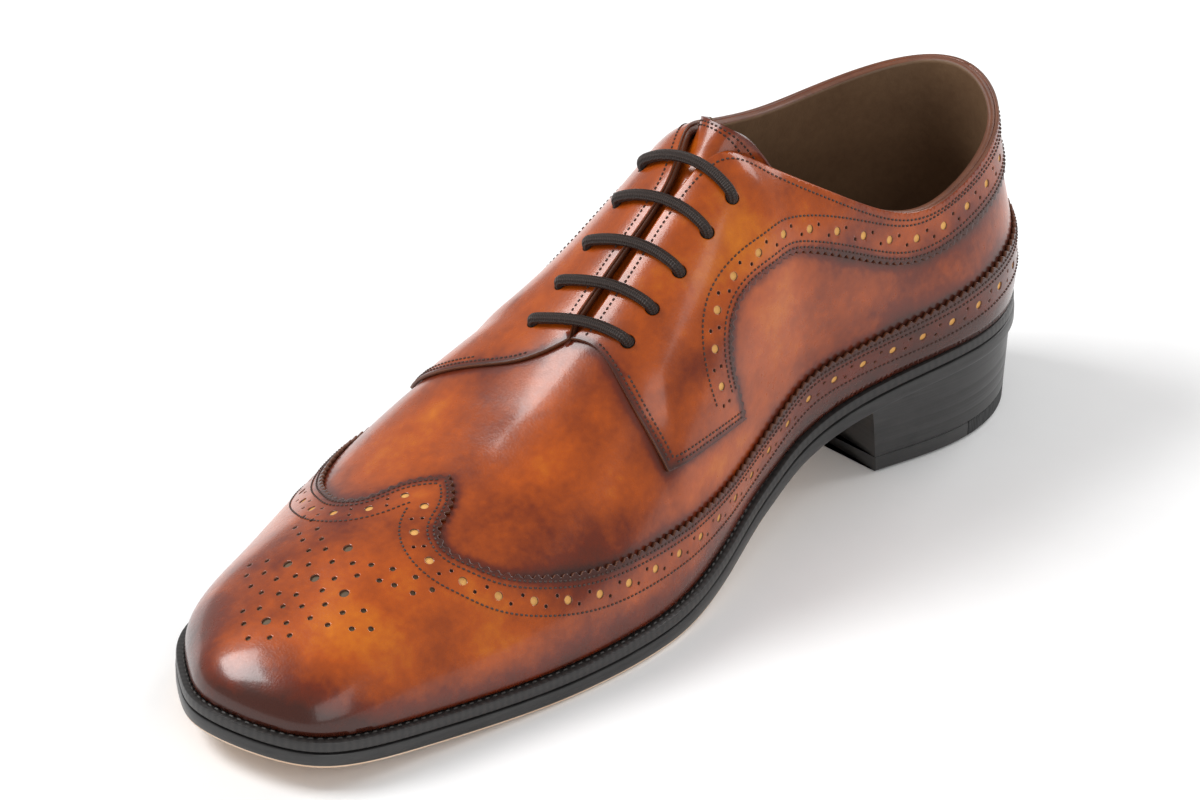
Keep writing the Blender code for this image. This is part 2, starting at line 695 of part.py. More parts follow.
def main():
    for old in list(bpy.data.objects):
        bpy.data.objects.remove(old)
    tan = plain_material("burnished_leather", (0.36, 0.11, 0.025), 0.25)
    brogued = plain_material("brogued_leather", (0.30, 0.085, 0.02), 0.3)
    lining = plain_material("lining_leather", (0.16, 0.09, 0.05), 0.6)
    edge = plain_material("black_edge", (0.012, 0.011, 0.011), 0.4)
    stacked = plain_material("heel_black", (0.014, 0.012, 0.012), 0.35)
    rubber = plain_material("rubber", (0.01, 0.01, 0.01), 0.7)
    cord = plain_material("waxed_lace", (0.028, 0.016, 0.012), 0.55)

    inner, outer = both_nets()
    parts = [
        sheet("upper", [(net, faces) for net, faces, _, _ in (inner, outer)], 0.0, -WALL, tan),
        sheet("wing_cap", [(net, faces[wing]) for net, faces, wing, _ in (inner, outer)], GAP, OVERLAY, brogued),
        sheet("facing_inner", [(heel_seam(inner[0]), inner[1][inner[3]])], GAP, OVERLAY, tan),
        sheet("facing_outer", [(heel_seam(outer[0]), outer[1][outer[3]])], GAP, OVERLAY, tan),
        make_outsole(edge),
        make_welt(edge),
        make_insole(lining),
        make_tongue(lining),
    ]
    parts += make_heel(stacked, rubber)
    for number, (along, slant) in enumerate(LACE_BARS, 1):
        parts.append(make_lace_bar(f"lace_bar_{number}", lace_path(along, slant), cord))
    stand_on_origin(parts)


main()
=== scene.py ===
# Longwing derby brogue, right shoe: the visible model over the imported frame.
# Sizes are millimetres until toFrame turns them to metres. "Along" runs from the heel back to the toe.
# Every skin is a function of reach (0 toe tip, 1 heel back, + inner side, - outer side) and rise
# (0 feather line at the welt, 1 top line).
import bpy
import bmesh
import math
import numpy as np
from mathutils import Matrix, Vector
from mathutils.geometry import delaunay_2d_cdt


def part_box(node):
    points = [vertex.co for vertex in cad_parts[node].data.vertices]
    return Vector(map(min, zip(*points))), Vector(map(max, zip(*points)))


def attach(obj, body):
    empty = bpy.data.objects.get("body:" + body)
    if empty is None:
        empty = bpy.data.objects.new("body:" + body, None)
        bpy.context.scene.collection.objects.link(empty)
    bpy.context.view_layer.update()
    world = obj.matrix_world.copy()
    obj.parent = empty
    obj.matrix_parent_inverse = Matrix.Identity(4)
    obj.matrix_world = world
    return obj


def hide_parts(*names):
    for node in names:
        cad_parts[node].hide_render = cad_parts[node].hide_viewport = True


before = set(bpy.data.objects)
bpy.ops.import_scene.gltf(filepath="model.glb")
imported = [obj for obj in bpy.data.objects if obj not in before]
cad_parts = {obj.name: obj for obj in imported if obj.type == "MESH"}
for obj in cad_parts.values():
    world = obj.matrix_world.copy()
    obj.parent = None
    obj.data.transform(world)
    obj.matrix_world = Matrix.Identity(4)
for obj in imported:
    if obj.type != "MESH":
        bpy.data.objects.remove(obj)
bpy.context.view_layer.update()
print("frame loaded")

shoe = {
    "length": 306.0, "outsole": 4.6, "welt": 3.6, "heel": 25.3, "toeSpring": 8.2, "gap": 0.3,
    "archBack": 40.3, "archFront": 178.5, "springStart": 212.0, "springPower": 1.8,
    "throat": 172.0, "throatRound": 7.0,
}
ridge = np.array([
    (288.0, 25.0), (270.0, 35.5), (252.0, 42.2), (233.0, 46.0), (216.0, 49.5), (200.0, 56.0),
    (186.0, 64.0), (170.0, 74.0), (147.0, 92.0), (124.0, 110.5), (100.0, 128.0)])  # along, height
lastColumns = ["along", "inner", "outer", "margin", "topAlong", "mid", "open", "topZ", "skew",
               "riseIn", "riseOut", "flare", "sideIn", "sideOut", "drop"]
lastRows = np.array([
    (306.0, 4.0, -4.0, 4.0, 262.0, 4.0, 2.5, 0.0, 0.0, 12.5, 12.5, 2.0, 17.0, 17.0, 0.0),
    (299.0, 29.8, 14.7, 4.0, 259.0, 4.0, 2.5, 0.0, 0.0, 12.5, 12.0, 2.0, 17.0, 17.0, 0.0),
    (284.0, 39.9, 32.0, 4.0, 250.0, 4.0, 2.5, 0.0, 0.0, 13.0, 13.0, 2.0, 19.0, 19.0, 0.0),
    (262.0, 43.9, 42.3, 4.0, 234.0, 4.0, 2.5, 0.0, 0.0, 15.0, 16.0, 2.0, 23.0, 25.0, 0.0),
    (235.0, 48.0, 52.0, 4.0, 216.0, 4.0, 2.5, 0.0, 0.0, 18.0, 20.0, 2.0, 26.0, 33.0, 0.0),
    (205.0, 51.2, 57.0, 4.0, 196.0, 4.0, 2.5, 0.0, 0.0, 22.0, 28.0, 2.0, 28.0, 38.0, 0.0),
    (172.0, 49.1, 54.0, 4.0, 172.0, 4.0, 2.5, 0.0, 0.0, 29.0, 35.0, 2.0, 28.0, 36.0, 0.0),
    (142.0, 39.4, 47.0, 3.6, 146.0, 3.8, 2.3, 0.0, 0.0, 34.0, 33.0, 4.5, 26.0, 28.0, 0.0),
    (126.0, 33.2, 42.6, 3.3, 129.0, 3.5, 2.8, 0.0, 0.0, 34.5, 33.5, 6.2, 24.0, 25.0, 1.5),
    (116.0, 30.2, 39.8, 3.1, 120.0, 2.3, 6.0, 112.5, 0.0, 34.5, 34.0, 7.0, 21.5, 22.5, 4.5),
    (102.0, 27.0, 36.9, 2.9, 109.5, 1.9, 11.5, 110.0, 1.5, 32.0, 31.0, 8.5, 15.0, 15.5, 10.0),
    (86.0, 27.0, 35.4, 2.7, 92.0, 1.0, 20.0, 100.0, 2.8, 26.0, 26.0, 9.0, 9.0, 9.0, 19.0),
    (68.0, 30.5, 34.6, 2.4, 70.0, 0.0, 26.0, 89.0, 5.5, 22.0, 22.0, 7.0, 5.0, 5.0, 22.0),
    (40.0, 34.5, 34.5, 2.0, 44.0, 0.0, 27.5, 86.0, 5.5, 20.0, 20.0, 5.0, 3.0, 3.0, 20.0),
    (14.0, 25.5, 25.5, 2.0, 19.0, 0.0, 20.0, 91.5, 2.5, 20.0, 20.0, 4.0, 2.0, 2.0, 22.0),
    (0.0, 0.0, 0.0, 2.0, 9.0, 0.0, 0.0, 97.0, 0.0, 20.0, 20.0, 4.0, 1.0, 1.0, 24.0),
])
col = {name: i for i, name in enumerate(lastColumns)}

# edges of the panels, as reach and rise
wingLine = [
    (0.272, 1.0), (0.264, 0.95), (0.239, 0.865), (0.214, 0.79), (0.216, 0.735), (0.234, 0.65),
    (0.270, 0.53), (0.312, 0.43), (0.363, 0.335), (0.427, 0.265), (0.505, 0.20), (0.575, 0.165),
    (0.633, 0.185), (0.705, 0.25), (0.762, 0.32), (0.823, 0.37), (0.917, 0.40), (1.0, 0.415)]
facingFront = {
    1: [(0.4585, 1.0), (0.459, 0.93), (0.452, 0.79), (0.448, 0.66), (0.451, 0.535), (0.458, 0.41)],
    -1: [(0.4585, 1.0), (0.435, 0.955), (0.412, 0.88), (0.399, 0.75), (0.397, 0.58), (0.408, 0.41)]}
facingRear = [
    (0.508, 0.35), (0.563, 0.28), (0.555, 0.37), (0.552, 0.46), (0.559, 0.525), (0.583, 0.555),
    (0.625, 0.565), (0.672, 0.625), (0.717, 0.70), (0.762, 0.72), (0.823, 0.725), (0.917, 0.735),
    (1.0, 0.74)]
laceBars = [(166.5, 3.3), (156.6, 2.7), (146.0, 2.4), (134.8, 1.9), (124.4, 1.6)]  # along, slant
seam = 0.9994  # reach at which panels stop short of the heel seam


# curves and the last's surface
def splineAround(knots, values, at):
    # cubic spline that repeats every 2 in reach
    n = len(knots)
    step = np.diff(np.append(knots, knots[0] + 2.0))
    slope = (np.vstack([values[1:], values[:1]]) - values) / step[:, None]
    rows = np.arange(n)
    system = np.zeros((n, n))
    system[rows, rows - 1] = step[rows - 1]
    system[rows, rows] = 2 * (step[rows - 1] + step)
    system[rows, (rows + 1) % n] = step
    bend = np.linalg.solve(system, 6 * (slope - slope[rows - 1]))
    at = (np.asarray(at, float) - knots[0]) % 2.0 + knots[0]
    i = np.clip(np.searchsorted(knots, at, side="right") - 1, 0, n - 1)
    j = (i + 1) % n
    t = (at - knots[i])[..., None]
    h = step[i][..., None]
    start = slope[i] - h * (2 * bend[i] + bend[j]) / 6
    return values[i] + start * t + bend[i] * t**2 / 2 + (bend[j] - bend[i]) * t**3 / (6 * h)


def splineOpen(xs, ys, at):
    # cubic spline with free ends, x rising; ys may have columns
    xs = np.asarray(xs, float)
    ys = np.asarray(ys, float)
    flat = ys.ndim == 1
    ys = ys.reshape(len(xs), -1)
    step = np.diff(xs)[:, None]
    slope = np.diff(ys, axis=0) / step
    n = len(xs)
    system = np.eye(n)
    turn = np.zeros_like(ys)
    for i in range(1, n - 1):
        system[i, i - 1:i + 2] = step[i - 1, 0], 2 * (step[i - 1, 0] + step[i, 0]), step[i, 0]
        turn[i] = 6 * (slope[i] - slope[i - 1])
    bend = np.linalg.solve(system, turn)
    at = np.asarray(at, float)
    i = np.clip(np.searchsorted(xs, at) - 1, 0, n - 2)
    t = (at - xs[i])[..., None]
    h = step[i]
    start = slope[i] - h * (2 * bend[i] + bend[i + 1]) / 6
    out = ys[i] + start * t + bend[i] * t**2 / 2 + (bend[i + 1] - bend[i]) * t**3 / (6 * h)
    return out[..., 0] if flat else out


def ridgeHeight(along):
    # height of the line where both sides meet, splined through the ridge's points
    return splineOpen(ridge[::-1, 0], ridge[::-1, 1], along)


def ease(x):
    # 3x2 - 2x3 between 0 and 1
    x = np.clip(x, 0, 1)
    return x * x * (3 - 2 * x)


def runAlong(points):
    # length run from a line's first point to each of its points
    return np.concatenate([[0.0], np.cumsum(np.linalg.norm(np.diff(points, axis=0), axis=1))])


def readAlong(at, run, values):
    # each column of a line's values read at places along its run
    return np.stack([np.interp(at, run, column) for column in np.transpose(values)], -1)


rowChord = (np.linalg.norm(np.diff(lastRows[:, [1, 0]], axis=0), axis=1)
            + np.linalg.norm(np.diff(lastRows[:, [2, 0]] * (-1, 1), axis=0), axis=1)) / 2
rowReach = np.concatenate([[0.0], np.cumsum(rowChord)]) / rowChord.sum()
aroundKnots = np.concatenate([-rowReach[1:-1][::-1], rowReach])


def roundTheShoe(reach, inner, outer):
    # values given row by row for both sides, splined round from the heel over the toe and back
    return splineAround(aroundKnots, np.vstack([outer[1:-1][::-1], inner]), reach)


def outline(reach):
    # the sole's edge: x and along
    return roundTheShoe(reach, lastRows[:, [1, 0]], lastRows[:, [2, 0]] * (-1, 1))


def outward(reach):
    # the outline's slope turned a quarter, in plan
    reach = np.asarray(reach, float)
    way = outline(reach + 1e-4) - outline(reach - 1e-4)
    way /= np.linalg.norm(way, axis=-1, keepdims=True)
    return np.stack([-way[..., 1], way[..., 0]], -1)


def inset(reach, by):
    # the outline moved inwards by a distance
    return outline(reach) - outward(reach) * np.asarray(by, float)[..., None]


def soleBottom(along):
    # heel height eased down over the arch, flat tread, then a power curve up to the toe
    arch = shoe["heel"] * (1 - ease((along - shoe["archBack"]) / (shoe["archFront"] - shoe["archBack"])))
    ahead = np.clip((along - shoe["springStart"]) / (shoe["length"] - shoe["springStart"]), 0, 1.2)
    return arch + shoe["toeSpring"] * ahead**shoe["springPower"]


def margin(reach):
    # from the sole's edge in to the feather line
    column = lastRows[:, [col["margin"]]]
    return roundTheShoe(reach, column, column)[..., 0]


def lastFrame(reach):
    # the values of a section of the last at a reach, both sides splined round the shoe
    onRidge = lastRows[:, col["topZ"]] == 0
    at = lastRows[:, col["topAlong"]]
    topZ = np.where(onRidge, ridgeHeight(at), lastRows[:, col["topZ"]])
    fall = np.where(onRidge, ridgeHeight(at + 0.5) - ridgeHeight(at - 0.5), 0.0)
    names = ["margin", "flare", "drop", "topAlong", "mid"]
    shared = np.c_[lastRows[:, [col[n] for n in names]], topZ, fall]
    handed = lastRows[:, [col["open"], col["skew"]]]
    inner = np.c_[shared, handed, lastRows[:, [col["riseIn"], col["sideIn"]]]]
    outer = np.c_[shared, -handed, lastRows[:, [col["riseOut"], col["sideOut"]]]]
    return np.moveaxis(roundTheShoe(reach, inner, outer), -1, 0)


def lastPoint(reach, rise):
    # each section is a cubic curve from the feather to the top line
    reach = np.asarray(reach, float)
    rise = np.asarray(rise, float)[..., None]
    edge, flare, drop, along, mid, top, slope, wide, skew, lift, side = lastFrame(reach)
    parted = ease((shoe["throat"] - along) / shoe["throatRound"])
    out = outward(reach)
    foot = outline(reach) - out * edge[..., None]
    out = np.stack([out[..., 0], out[..., 1], 0 * edge], -1)
    upright = np.array([0.0, 0.0, 1.0])
    feather = soleBottom(foot[..., 1]) + shoe["outsole"] + shoe["welt"] + shoe["gap"]
    start = np.stack([foot[..., 0], foot[..., 1], feather], -1)
    end = np.stack([mid + parted * wide, along, top - parted * skew], -1)
    low = start + out * flare[..., None] + upright * lift[..., None]
    high = end + out * side[..., None] + upright * (side * out[..., 1] * slope - drop)[..., None]
    rest = 1 - rise
    return rest**3 * start + 3 * rest**2 * rise * low + 3 * rest * rise**2 * high + rise**3 * end


def folded(reach, rise):
    # past the ridge a place belongs to the other side: reach turns over and rise comes back down
    over = rise > 1
    return np.where(over, -reach, reach), np.where(over, 2 - rise, rise)


closedReach = 0.45  # the slit opens past this reach, and the last is closed over its ridge before it


def overRidge(reach, rise):
    return lastPoint(*folded(reach, rise))


def steps(reach, rise):
    # the last's two slopes, per unit of reach and of rise; over the closed ridge they run on
    h = 1e-3
    alongWay = (overRidge(reach + h, rise) - overRidge(reach - h, rise)) / (2 * h)
    high = np.where((np.abs(reach) > closedReach) & (rise + h > 1), rise, rise + h)
    upWay = (overRidge(reach, high) - overRidge(reach, rise - h)) / (high - rise + h)[..., None]
    return alongWay, upWay


def unit(v):
    # vectors brought to length 1
    return v / np.maximum(np.linalg.norm(v, axis=-1, keepdims=True), 1e-12)


def lastNormal(reach, rise):
    # the two slopes crossed; on the closed ridge both sides' normals are shared
    closed = (rise > 0.999) & (np.abs(reach) < closedReach)
    held = np.where(closed, 0.97, rise)
    a, u = steps(reach, held)
    n = unit(np.cross(u, a))
    a, u = steps(-reach, held)
    other = unit(np.cross(u, a))
    return unit(np.where(closed[..., None], n + other, n))


creaseMiddle = 4.0  # x of the vamp's middle line
creases = [  # along on the ridge, sweep back to the sides, side, depth, half width, reach across
    (216.0, 0.16, 0.0, 0.16, 5.0, 26.0),
    (206.0, 0.22, 6.0, 0.12, 4.4, 22.0),
    (226.0, 0.12, -8.0, 0.10, 4.6, 19.0),
    (196.0, 0.30, -12.0, 0.10, 4.6, 18.0),
    (190.0, -0.25, 26.0, 0.12, 4.6, 11.0),
    (196.0, -0.20, -30.0, 0.12, 4.6, 12.0)]


def creaseDepth(p):
    # soft troughs: a bell across each crease times a bell along it, with a low ridge beside it
    depth = np.zeros(p.shape[:-1])
    for along, sweep, side, deep, half, reach in creases:
        off = p[..., 0] - creaseMiddle - side
        s = (p[..., 1] - (along - sweep * np.abs(off))) / half
        depth += deep * np.exp(-(off / reach)**2) * (0.6 * np.exp(-((s - 1.9) / 1.1)**2) - np.exp(-s**2))
    return depth


def lifted(reach, rise, lift):
    # a place of the last, creases and all, moved out along its normal
    reach, rise = folded(np.asarray(reach, float), np.asarray(rise, float))
    p = lastPoint(reach, rise)
    return p + lastNormal(reach, rise) * (np.asarray(lift) + creaseDepth(p))[..., None]


def laid(places, lift=0.0):
    return lifted(places[..., 0], places[..., 1], lift)


# the CAD's shift from the last's own place
probe = outline(np.linspace(-1, 1, 1441))
low, high = (np.array(corner) * 1000 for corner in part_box("outsole"))
shift = np.array([(low[0] + high[0]) / 2 - (probe[:, 0].min() + probe[:, 0].max()) / 2,
                  low[1] - (shoe["length"] / 2 - probe[:, 1].max()), low[2]])


def toFrame(p):
    # the shoe's millimetres to the frame's metres, toe to -Y
    p = np.asarray(p, float)
    return (np.stack([p[..., 0], shoe["length"] / 2 - p[..., 1], p[..., 2]], -1) + shift) * 0.001


def evenly(curve, pitch):
    # places on the last spaced evenly along a curve of reach and rise, by length in space
    curve = np.asarray(curve, float)
    run = runAlong(laid(curve))
    count = max(2, int(round(run[-1] / pitch)) + 1)
    return readAlong(np.linspace(0, run[-1], count), run, curve), run[-1]


def atShares(curve, shares):
    # places at shares of a curve's whole length
    run = runAlong(laid(curve))
    return readAlong(np.asarray(shares) * run[-1], run, curve)


aroundHalf, upOver = 360, 75  # rough millimetres from toe to heel round the shoe, and from welt to top line


def smoothLine(points, fine=12):
    # spline through places of reach and rise, parted by their rough distance in millimetres
    points = np.array(points, float)
    gaps = np.linalg.norm(np.diff(points, axis=0) * (aroundHalf, upOver), axis=1)
    run = np.concatenate([[0.0], np.cumsum(gaps)])
    parts = [np.linspace(a, b, fine, endpoint=False) for a, b in zip(run[:-1], run[1:])]
    return splineOpen(run, points, np.concatenate(parts + [[run[-1]]]))


def inSurface(reach, rise, way):
    # reach and rise that move a place by a vector of space lying in the surface
    a, u = steps(reach, rise)
    e, f, g = (a * a).sum(-1), (a * u).sum(-1), (u * u).sum(-1)
    x, y = (a * way).sum(-1), (u * way).sum(-1)
    det = e * g - f * f
    return np.stack([(g * x - f * y) / det, (e * y - f * x) / det], -1)


def sideStep(curve, distance, pieces=4):
    # a curve moved sideways over the surface; positive goes to the left of its run seen from outside
    curve = np.array(curve, float)
    distance = np.broadcast_to(distance, len(curve)) / pieces
    for _ in range(pieces):
        way = unit(np.gradient(laid(curve), axis=0))
        held = np.minimum(curve[:, 1], 0.9999)
        n = lastNormal(curve[:, 0], held)
        curve = curve + inSurface(curve[:, 0], held, np.cross(n, way) * distance[:, None])
        curve[:, 1] = np.clip(curve[:, 1], 0.0, 1.999)
    return curve


def circleOn(places, radius, sides):
    # rings of reach and rise round places, true circles in the surface
    places = np.atleast_2d(places)
    a, u = steps(places[:, 0], places[:, 1])
    e1 = unit(a)
    e2 = unit(np.cross(np.cross(e1, u), e1))
    turn = np.linspace(0, 2 * np.pi, sides, endpoint=False)
    way = e1[:, None] * np.cos(turn)[None, :, None] + e2[:, None] * np.sin(turn)[None, :, None]
    flat = np.repeat(places, sides, axis=0)
    goal = overRidge(flat[:, 0], flat[:, 1]) + (way * radius).reshape(-1, 3)
    for _ in range(5):
        miss = goal - overRidge(flat[:, 0], flat[:, 1])
        flat = flat + np.clip(inSurface(flat[:, 0], flat[:, 1], miss), -0.05, 0.05)
    return flat.reshape(len(places), sides, 2)


def placeAt(x, along):
    # reach and rise of the surface over places in plan, by Newton's steps from a fair guess
    x = np.asarray(x, float)
    along = np.asarray(along, float)
    r, v = np.meshgrid(np.linspace(0.002, 0.72, 180), np.linspace(0.25, 0.995, 60), indexing="ij")
    r = np.concatenate([r.ravel(), -r.ravel()])
    v = np.tile(v.ravel(), 2)
    sheet = lastPoint(r, v)
    best = np.hypot(sheet[:, 0] - x[:, None], sheet[:, 1] - along[:, None]).argmin(1)
    out = np.stack([r[best], v[best]], -1)
    for _ in range(14):
        p = overRidge(out[:, 0], out[:, 1])
        a, u = steps(out[:, 0], out[:, 1])
        det = a[:, 0] * u[:, 1] - a[:, 1] * u[:, 0]
        mx, my = x - p[:, 0], along - p[:, 1]
        move = np.stack([(u[:, 1] * mx - u[:, 0] * my) / det, (a[:, 0] * my - a[:, 1] * mx) / det], -1)
        out += np.clip(move, -0.02, 0.02)
    p = overRidge(out[:, 0], out[:, 1])
    print("places found within", round(float(np.hypot(x - p[:, 0], along - p[:, 1]).max()), 3), "mm")
    return np.stack(folded(out[:, 0], out[:, 1]), -1)


# shader nodes in plain expressions
class Wire:
    def __init__(self, tree, socket):
        self.tree = tree
        self.socket = socket

    def maths(self, operation, other, turned=False):
        node = self.tree.nodes.new("ShaderNodeMath")
        node.operation = operation
        for slot, value in zip(node.inputs, (other, self) if turned else (self, other)):
            if isinstance(value, Wire):
                self.tree.links.new(value.socket, slot)
            else:
                slot.default_value = value
        return Wire(self.tree, node.outputs[0])

    def __add__(self, other):
        return self.maths("ADD", other)

    def __sub__(self, other):
        return self.maths("SUBTRACT", other)

    def __rsub__(self, other):
        return self.maths("SUBTRACT", other, True)

    def __mul__(self, other):
        return self.maths("MULTIPLY", other)

    def clipped(self):
        return self.maths("MAXIMUM", 0.0).maths("MINIMUM", 1.0)

    def wave(self, length=1.0):
        return (self * (2 * math.pi / length)).maths("SINE", 0.0)

    __radd__ = __add__
    __rmul__ = __mul__


class Finish:
    # one material: a Principled shader and the nodes that feed it
    def __init__(self, name, view, **constants):
        self.material = bpy.data.materials.new(name)
        self.material.use_nodes = True
        self.material.diffuse_color = (*view, 1.0)
        self.tree = self.material.node_tree
        self.shader = self.tree.nodes["Principled BSDF"]
        self.shader.inputs["Base Color"].default_value = (*view, 1.0)
        for socket, value in constants.items():
            self.shader.inputs[socket.replace("_", " ")].default_value = value
        coordinates = self.tree.nodes.new("ShaderNodeTexCoord")
        self.place = Wire(self.tree, coordinates.outputs["Object"])

    def node(self, kind, settings=None, output=0, **sockets):
        node = self.tree.nodes.new("ShaderNode" + kind)
        for key, value in (settings or {}).items():
            if key == "stops":
                ramp = node.color_ramp
                while len(ramp.elements) < len(value):
                    ramp.elements.new(0.5)
                for element, (at, colour) in zip(ramp.elements, value):
                    element.position = at
                    element.color = (*colour, 1.0)
            else:
                setattr(node, key, value)
        for key, value in sockets.items():
            slot = node.inputs[key.replace("_", " ")]
            if isinstance(value, Wire):
                self.tree.links.new(value.socket, slot)
            else:
                slot.default_value = value
        return Wire(self.tree, node.outputs[output])

    def attribute(self, name):
        return self.node("Attribute", {"attribute_name": name}, output=2)

    def noise(self, scale, detail=3.0, roughness=0.5, where=None):
        return self.node("TexNoise", Vector=where or self.place, Scale=scale, Detail=detail,
                         Roughness=roughness)

    def stretched(self, scale):
        return self.node("Mapping", Vector=self.place, Scale=scale)

    def colours(self, mask, *stops):
        return self.node("ValToRGB", {"stops": stops}, Fac=mask)

    def split(self, vector):
        outputs = self.node("SeparateXYZ", Vector=vector).socket.node.outputs
        return [Wire(self.tree, socket) for socket in outputs]

    def bump(self, height, strength, distance, under=None):
        extra = {"Normal": under} if under else {}
        return self.node("Bump", Height=height, Strength=strength, Distance=distance, **extra)

    def dressed(self, colour, roughness=None, normal=None):
        for socket, wire in (("Base Color", colour), ("Roughness", roughness), ("Normal", normal)):
            if wire is not None:
                self.tree.links.new(wire.socket, self.shader.inputs[socket])
        return self.material


leatherTones = {
    "light": (0.62, 0.172, 0.006), "mid": (0.40, 0.068, 0.002), "deep": (0.14, 0.016, 0.001),
    "dark": (0.050, 0.010, 0.0045), "grain": 0.10, "mottle": 0.80, "roughness": 0.28, "coat": 0.44,
}


def calfWithPaintedLight(name):
    # tan calf: tone from the attribute of burnish with painted highlights and painted shade, plus cloudy
    # noise, darker by edges (the panels' own darker cut edges, and painted shade on the upper skin beside
    # the panels' rims), fine pores and grain
    look = leatherTones
    f = Finish(name, look["mid"], Coat_Weight=look["coat"], Coat_Roughness=0.13, Specular_IOR_Level=0.30)
    cloud = f.noise(38.0, 4.0, 0.6)
    fleck = f.noise(420.0, 3.0, 0.65)
    patch = f.noise(105.0, 3.0, 0.55)
    streak = f.noise(1.0, 3.0, 0.6, where=f.stretched((160.0, 45.0, 120.0)))
    # darkness by cut edges: on the panels their own darker edge, on the upper skin painted shade beside the
    # panels' rims
    edge = f.attribute("edgeNear")
    # the tone attribute holds burnish together with painted highlights and painted shade
    tone = (f.attribute("burnish") + (cloud - 0.5) * look["mottle"] + (fleck - 0.5) * 0.16
            + (patch - 0.5) * 0.30 + (streak - 0.5) * 0.14 + edge * 0.48).clipped()
    colour = f.colours(tone, (0.0, look["light"]), (0.34, look["mid"]), (0.68, look["deep"]),
                       (1.0, look["dark"]))
    pores = f.bump(f.node("TexVoronoi", {"feature": "F1"}, Vector=f.place, Scale=1500.0), 0.10, 0.0002)
    wrinkle = f.bump(f.noise(260.0, 5.0, 0.62), look["grain"], 0.0006, pores)
    return f.dressed(colour, look["roughness"] + (fleck - 0.5) * 0.10 + edge * 0.10, wrinkle)


def plainHide(name, tone, dark, roughness, scale=300.0, strength=0.3):
    # a matt hide: two near tones in noise, with grain
    f = Finish(name, tone)
    grain = f.noise(scale, 5.0, 0.65)
    cloud = f.noise(60.0, 4.0, 0.6) * 0.6 + grain * 0.4
    return f.dressed(f.colours(cloud.clipped(), (0.3, dark), (0.7, tone)), roughness + (grain - 0.5) * 0.2,
                     f.bump(grain, strength, 0.0005))


def sewingThread(name, tone):
    # twisted thread: noise far finer than a stitch
    f = Finish(name, tone, Roughness=0.6)
    twist = f.noise(2600.0, 2.0, 0.5)
    dark = tuple(c * 0.55 for c in tone)
    return f.dressed(f.colours(twist, (0.3, dark), (0.7, tone)), normal=f.bump(twist, 0.4, 0.0002))


def waxedCord(name, tone):
    # braid from two crossing waves of the tube's own map, u round the lace and v along it in lace widths
    f = Finish(name, tone, Specular_IOR_Level=0.35)
    u, v, _ = f.split(f.node("UVMap", {"uv_map": "laceMap"}))
    weave = (u * 4.0 + v * 2.6).wave() * (u * 4.0 - v * 2.6).wave() * 0.5 + 0.5
    dark = tuple(c * 0.35 for c in tone)
    return f.dressed(f.colours(weave, (0.0, dark), (0.8, tone)), 0.62 - weave * 0.18,
                     f.bump(weave, 0.8, 0.0006))


def inkedEdge(name):
    # waxed black sole edge: faint lines of the layers and light scuffs
    f = Finish(name, (0.016, 0.015, 0.015), Coat_Weight=0.25, Coat_Roughness=0.3)
    layers = f.noise(1.0, 3.0, 0.6, where=f.stretched((25.0, 25.0, 900.0)))
    scuff = f.noise(140.0, 4.0, 0.7)
    colour = f.colours((layers * 0.5 + scuff * 0.5).clipped(), (0.35, (0.007, 0.0065, 0.0065)),
                       (0.75, (0.034, 0.032, 0.031)))
    return f.dressed(colour, 0.30 + scuff * 0.22, f.bump(layers, 0.22, 0.0004))


def wheeledWelt(name, pitch):
    # black welt with the soft marks of the wheel, one each pitch of the run along its edge
    f = Finish(name, (0.014, 0.012, 0.012), Coat_Weight=0.1, Coat_Roughness=0.35)
    wheel = f.attribute("run").wave(pitch) * 0.5 + 0.5
    grit = f.noise(500.0, 3.0, 0.6)
    colour = f.colours((wheel * 0.3 + grit * 0.7).clipped(), (0.2, (0.010, 0.009, 0.009)),
                       (0.9, (0.032, 0.028, 0.026)))
    return f.dressed(colour, 0.34 + grit * 0.15, f.bump(wheel * 0.6 + grit * 0.4, 0.14, 0.0005))


def soleLeather(name):
    # pale vegetable tanned sole: fine fibre and faint clouds
    f = Finish(name, (0.70, 0.50, 0.36), Coat_Weight=0.12, Coat_Roughness=0.4)
    fibre = f.noise(900.0, 4.0, 0.7)
    cloud = f.noise(22.0, 3.0, 0.5)
    colour = f.colours((cloud * 0.7 + fibre * 0.3).clipped(), (0.3, (0.60, 0.40, 0.26)),
                       (0.72, (0.80, 0.62, 0.47)))
    return f.dressed(colour, 0.45 + fibre * 0.15, f.bump(fibre, 0.12, 0.0003))


def ribbedRubber(name, pitch):
    # matt rubber: fine crossed ribs from the object's own x and y
    f = Finish(name, (0.02, 0.02, 0.02))
    x, y, _ = f.split(f.place)
    rib = (x + y).wave(pitch) * (x - y).wave(pitch) * 0.5 + 0.5
    grit = f.noise(700.0, 3.0, 0.6)
    colour = f.colours((rib * 0.5 + grit * 0.5).clipped(), (0.2, (0.008, 0.008, 0.008)),
                       (0.8, (0.035, 0.035, 0.036)))
    return f.dressed(colour, 0.6 + grit * 0.15, f.bump(rib, 0.5, 0.0005))


calf = calfWithPaintedLight("calfWithPaintedLight")
cutEdge = plainHide("cutEdge", (0.17, 0.052, 0.018), (0.08, 0.024, 0.010), 0.5)
lining = plainHide("brownLining", (0.20, 0.115, 0.060), (0.13, 0.070, 0.036), 0.55, 420.0, 0.25)
footbed = plainHide("footbedLeather", (0.24, 0.135, 0.070), (0.16, 0.085, 0.042), 0.5, 380.0, 0.25)
holeTan = plainHide("holeTan", (0.84, 0.46, 0.13), (0.62, 0.29, 0.07), 0.55)
holeBrown = plainHide("holeBrown", (0.16, 0.105, 0.055), (0.09, 0.06, 0.032), 0.6)
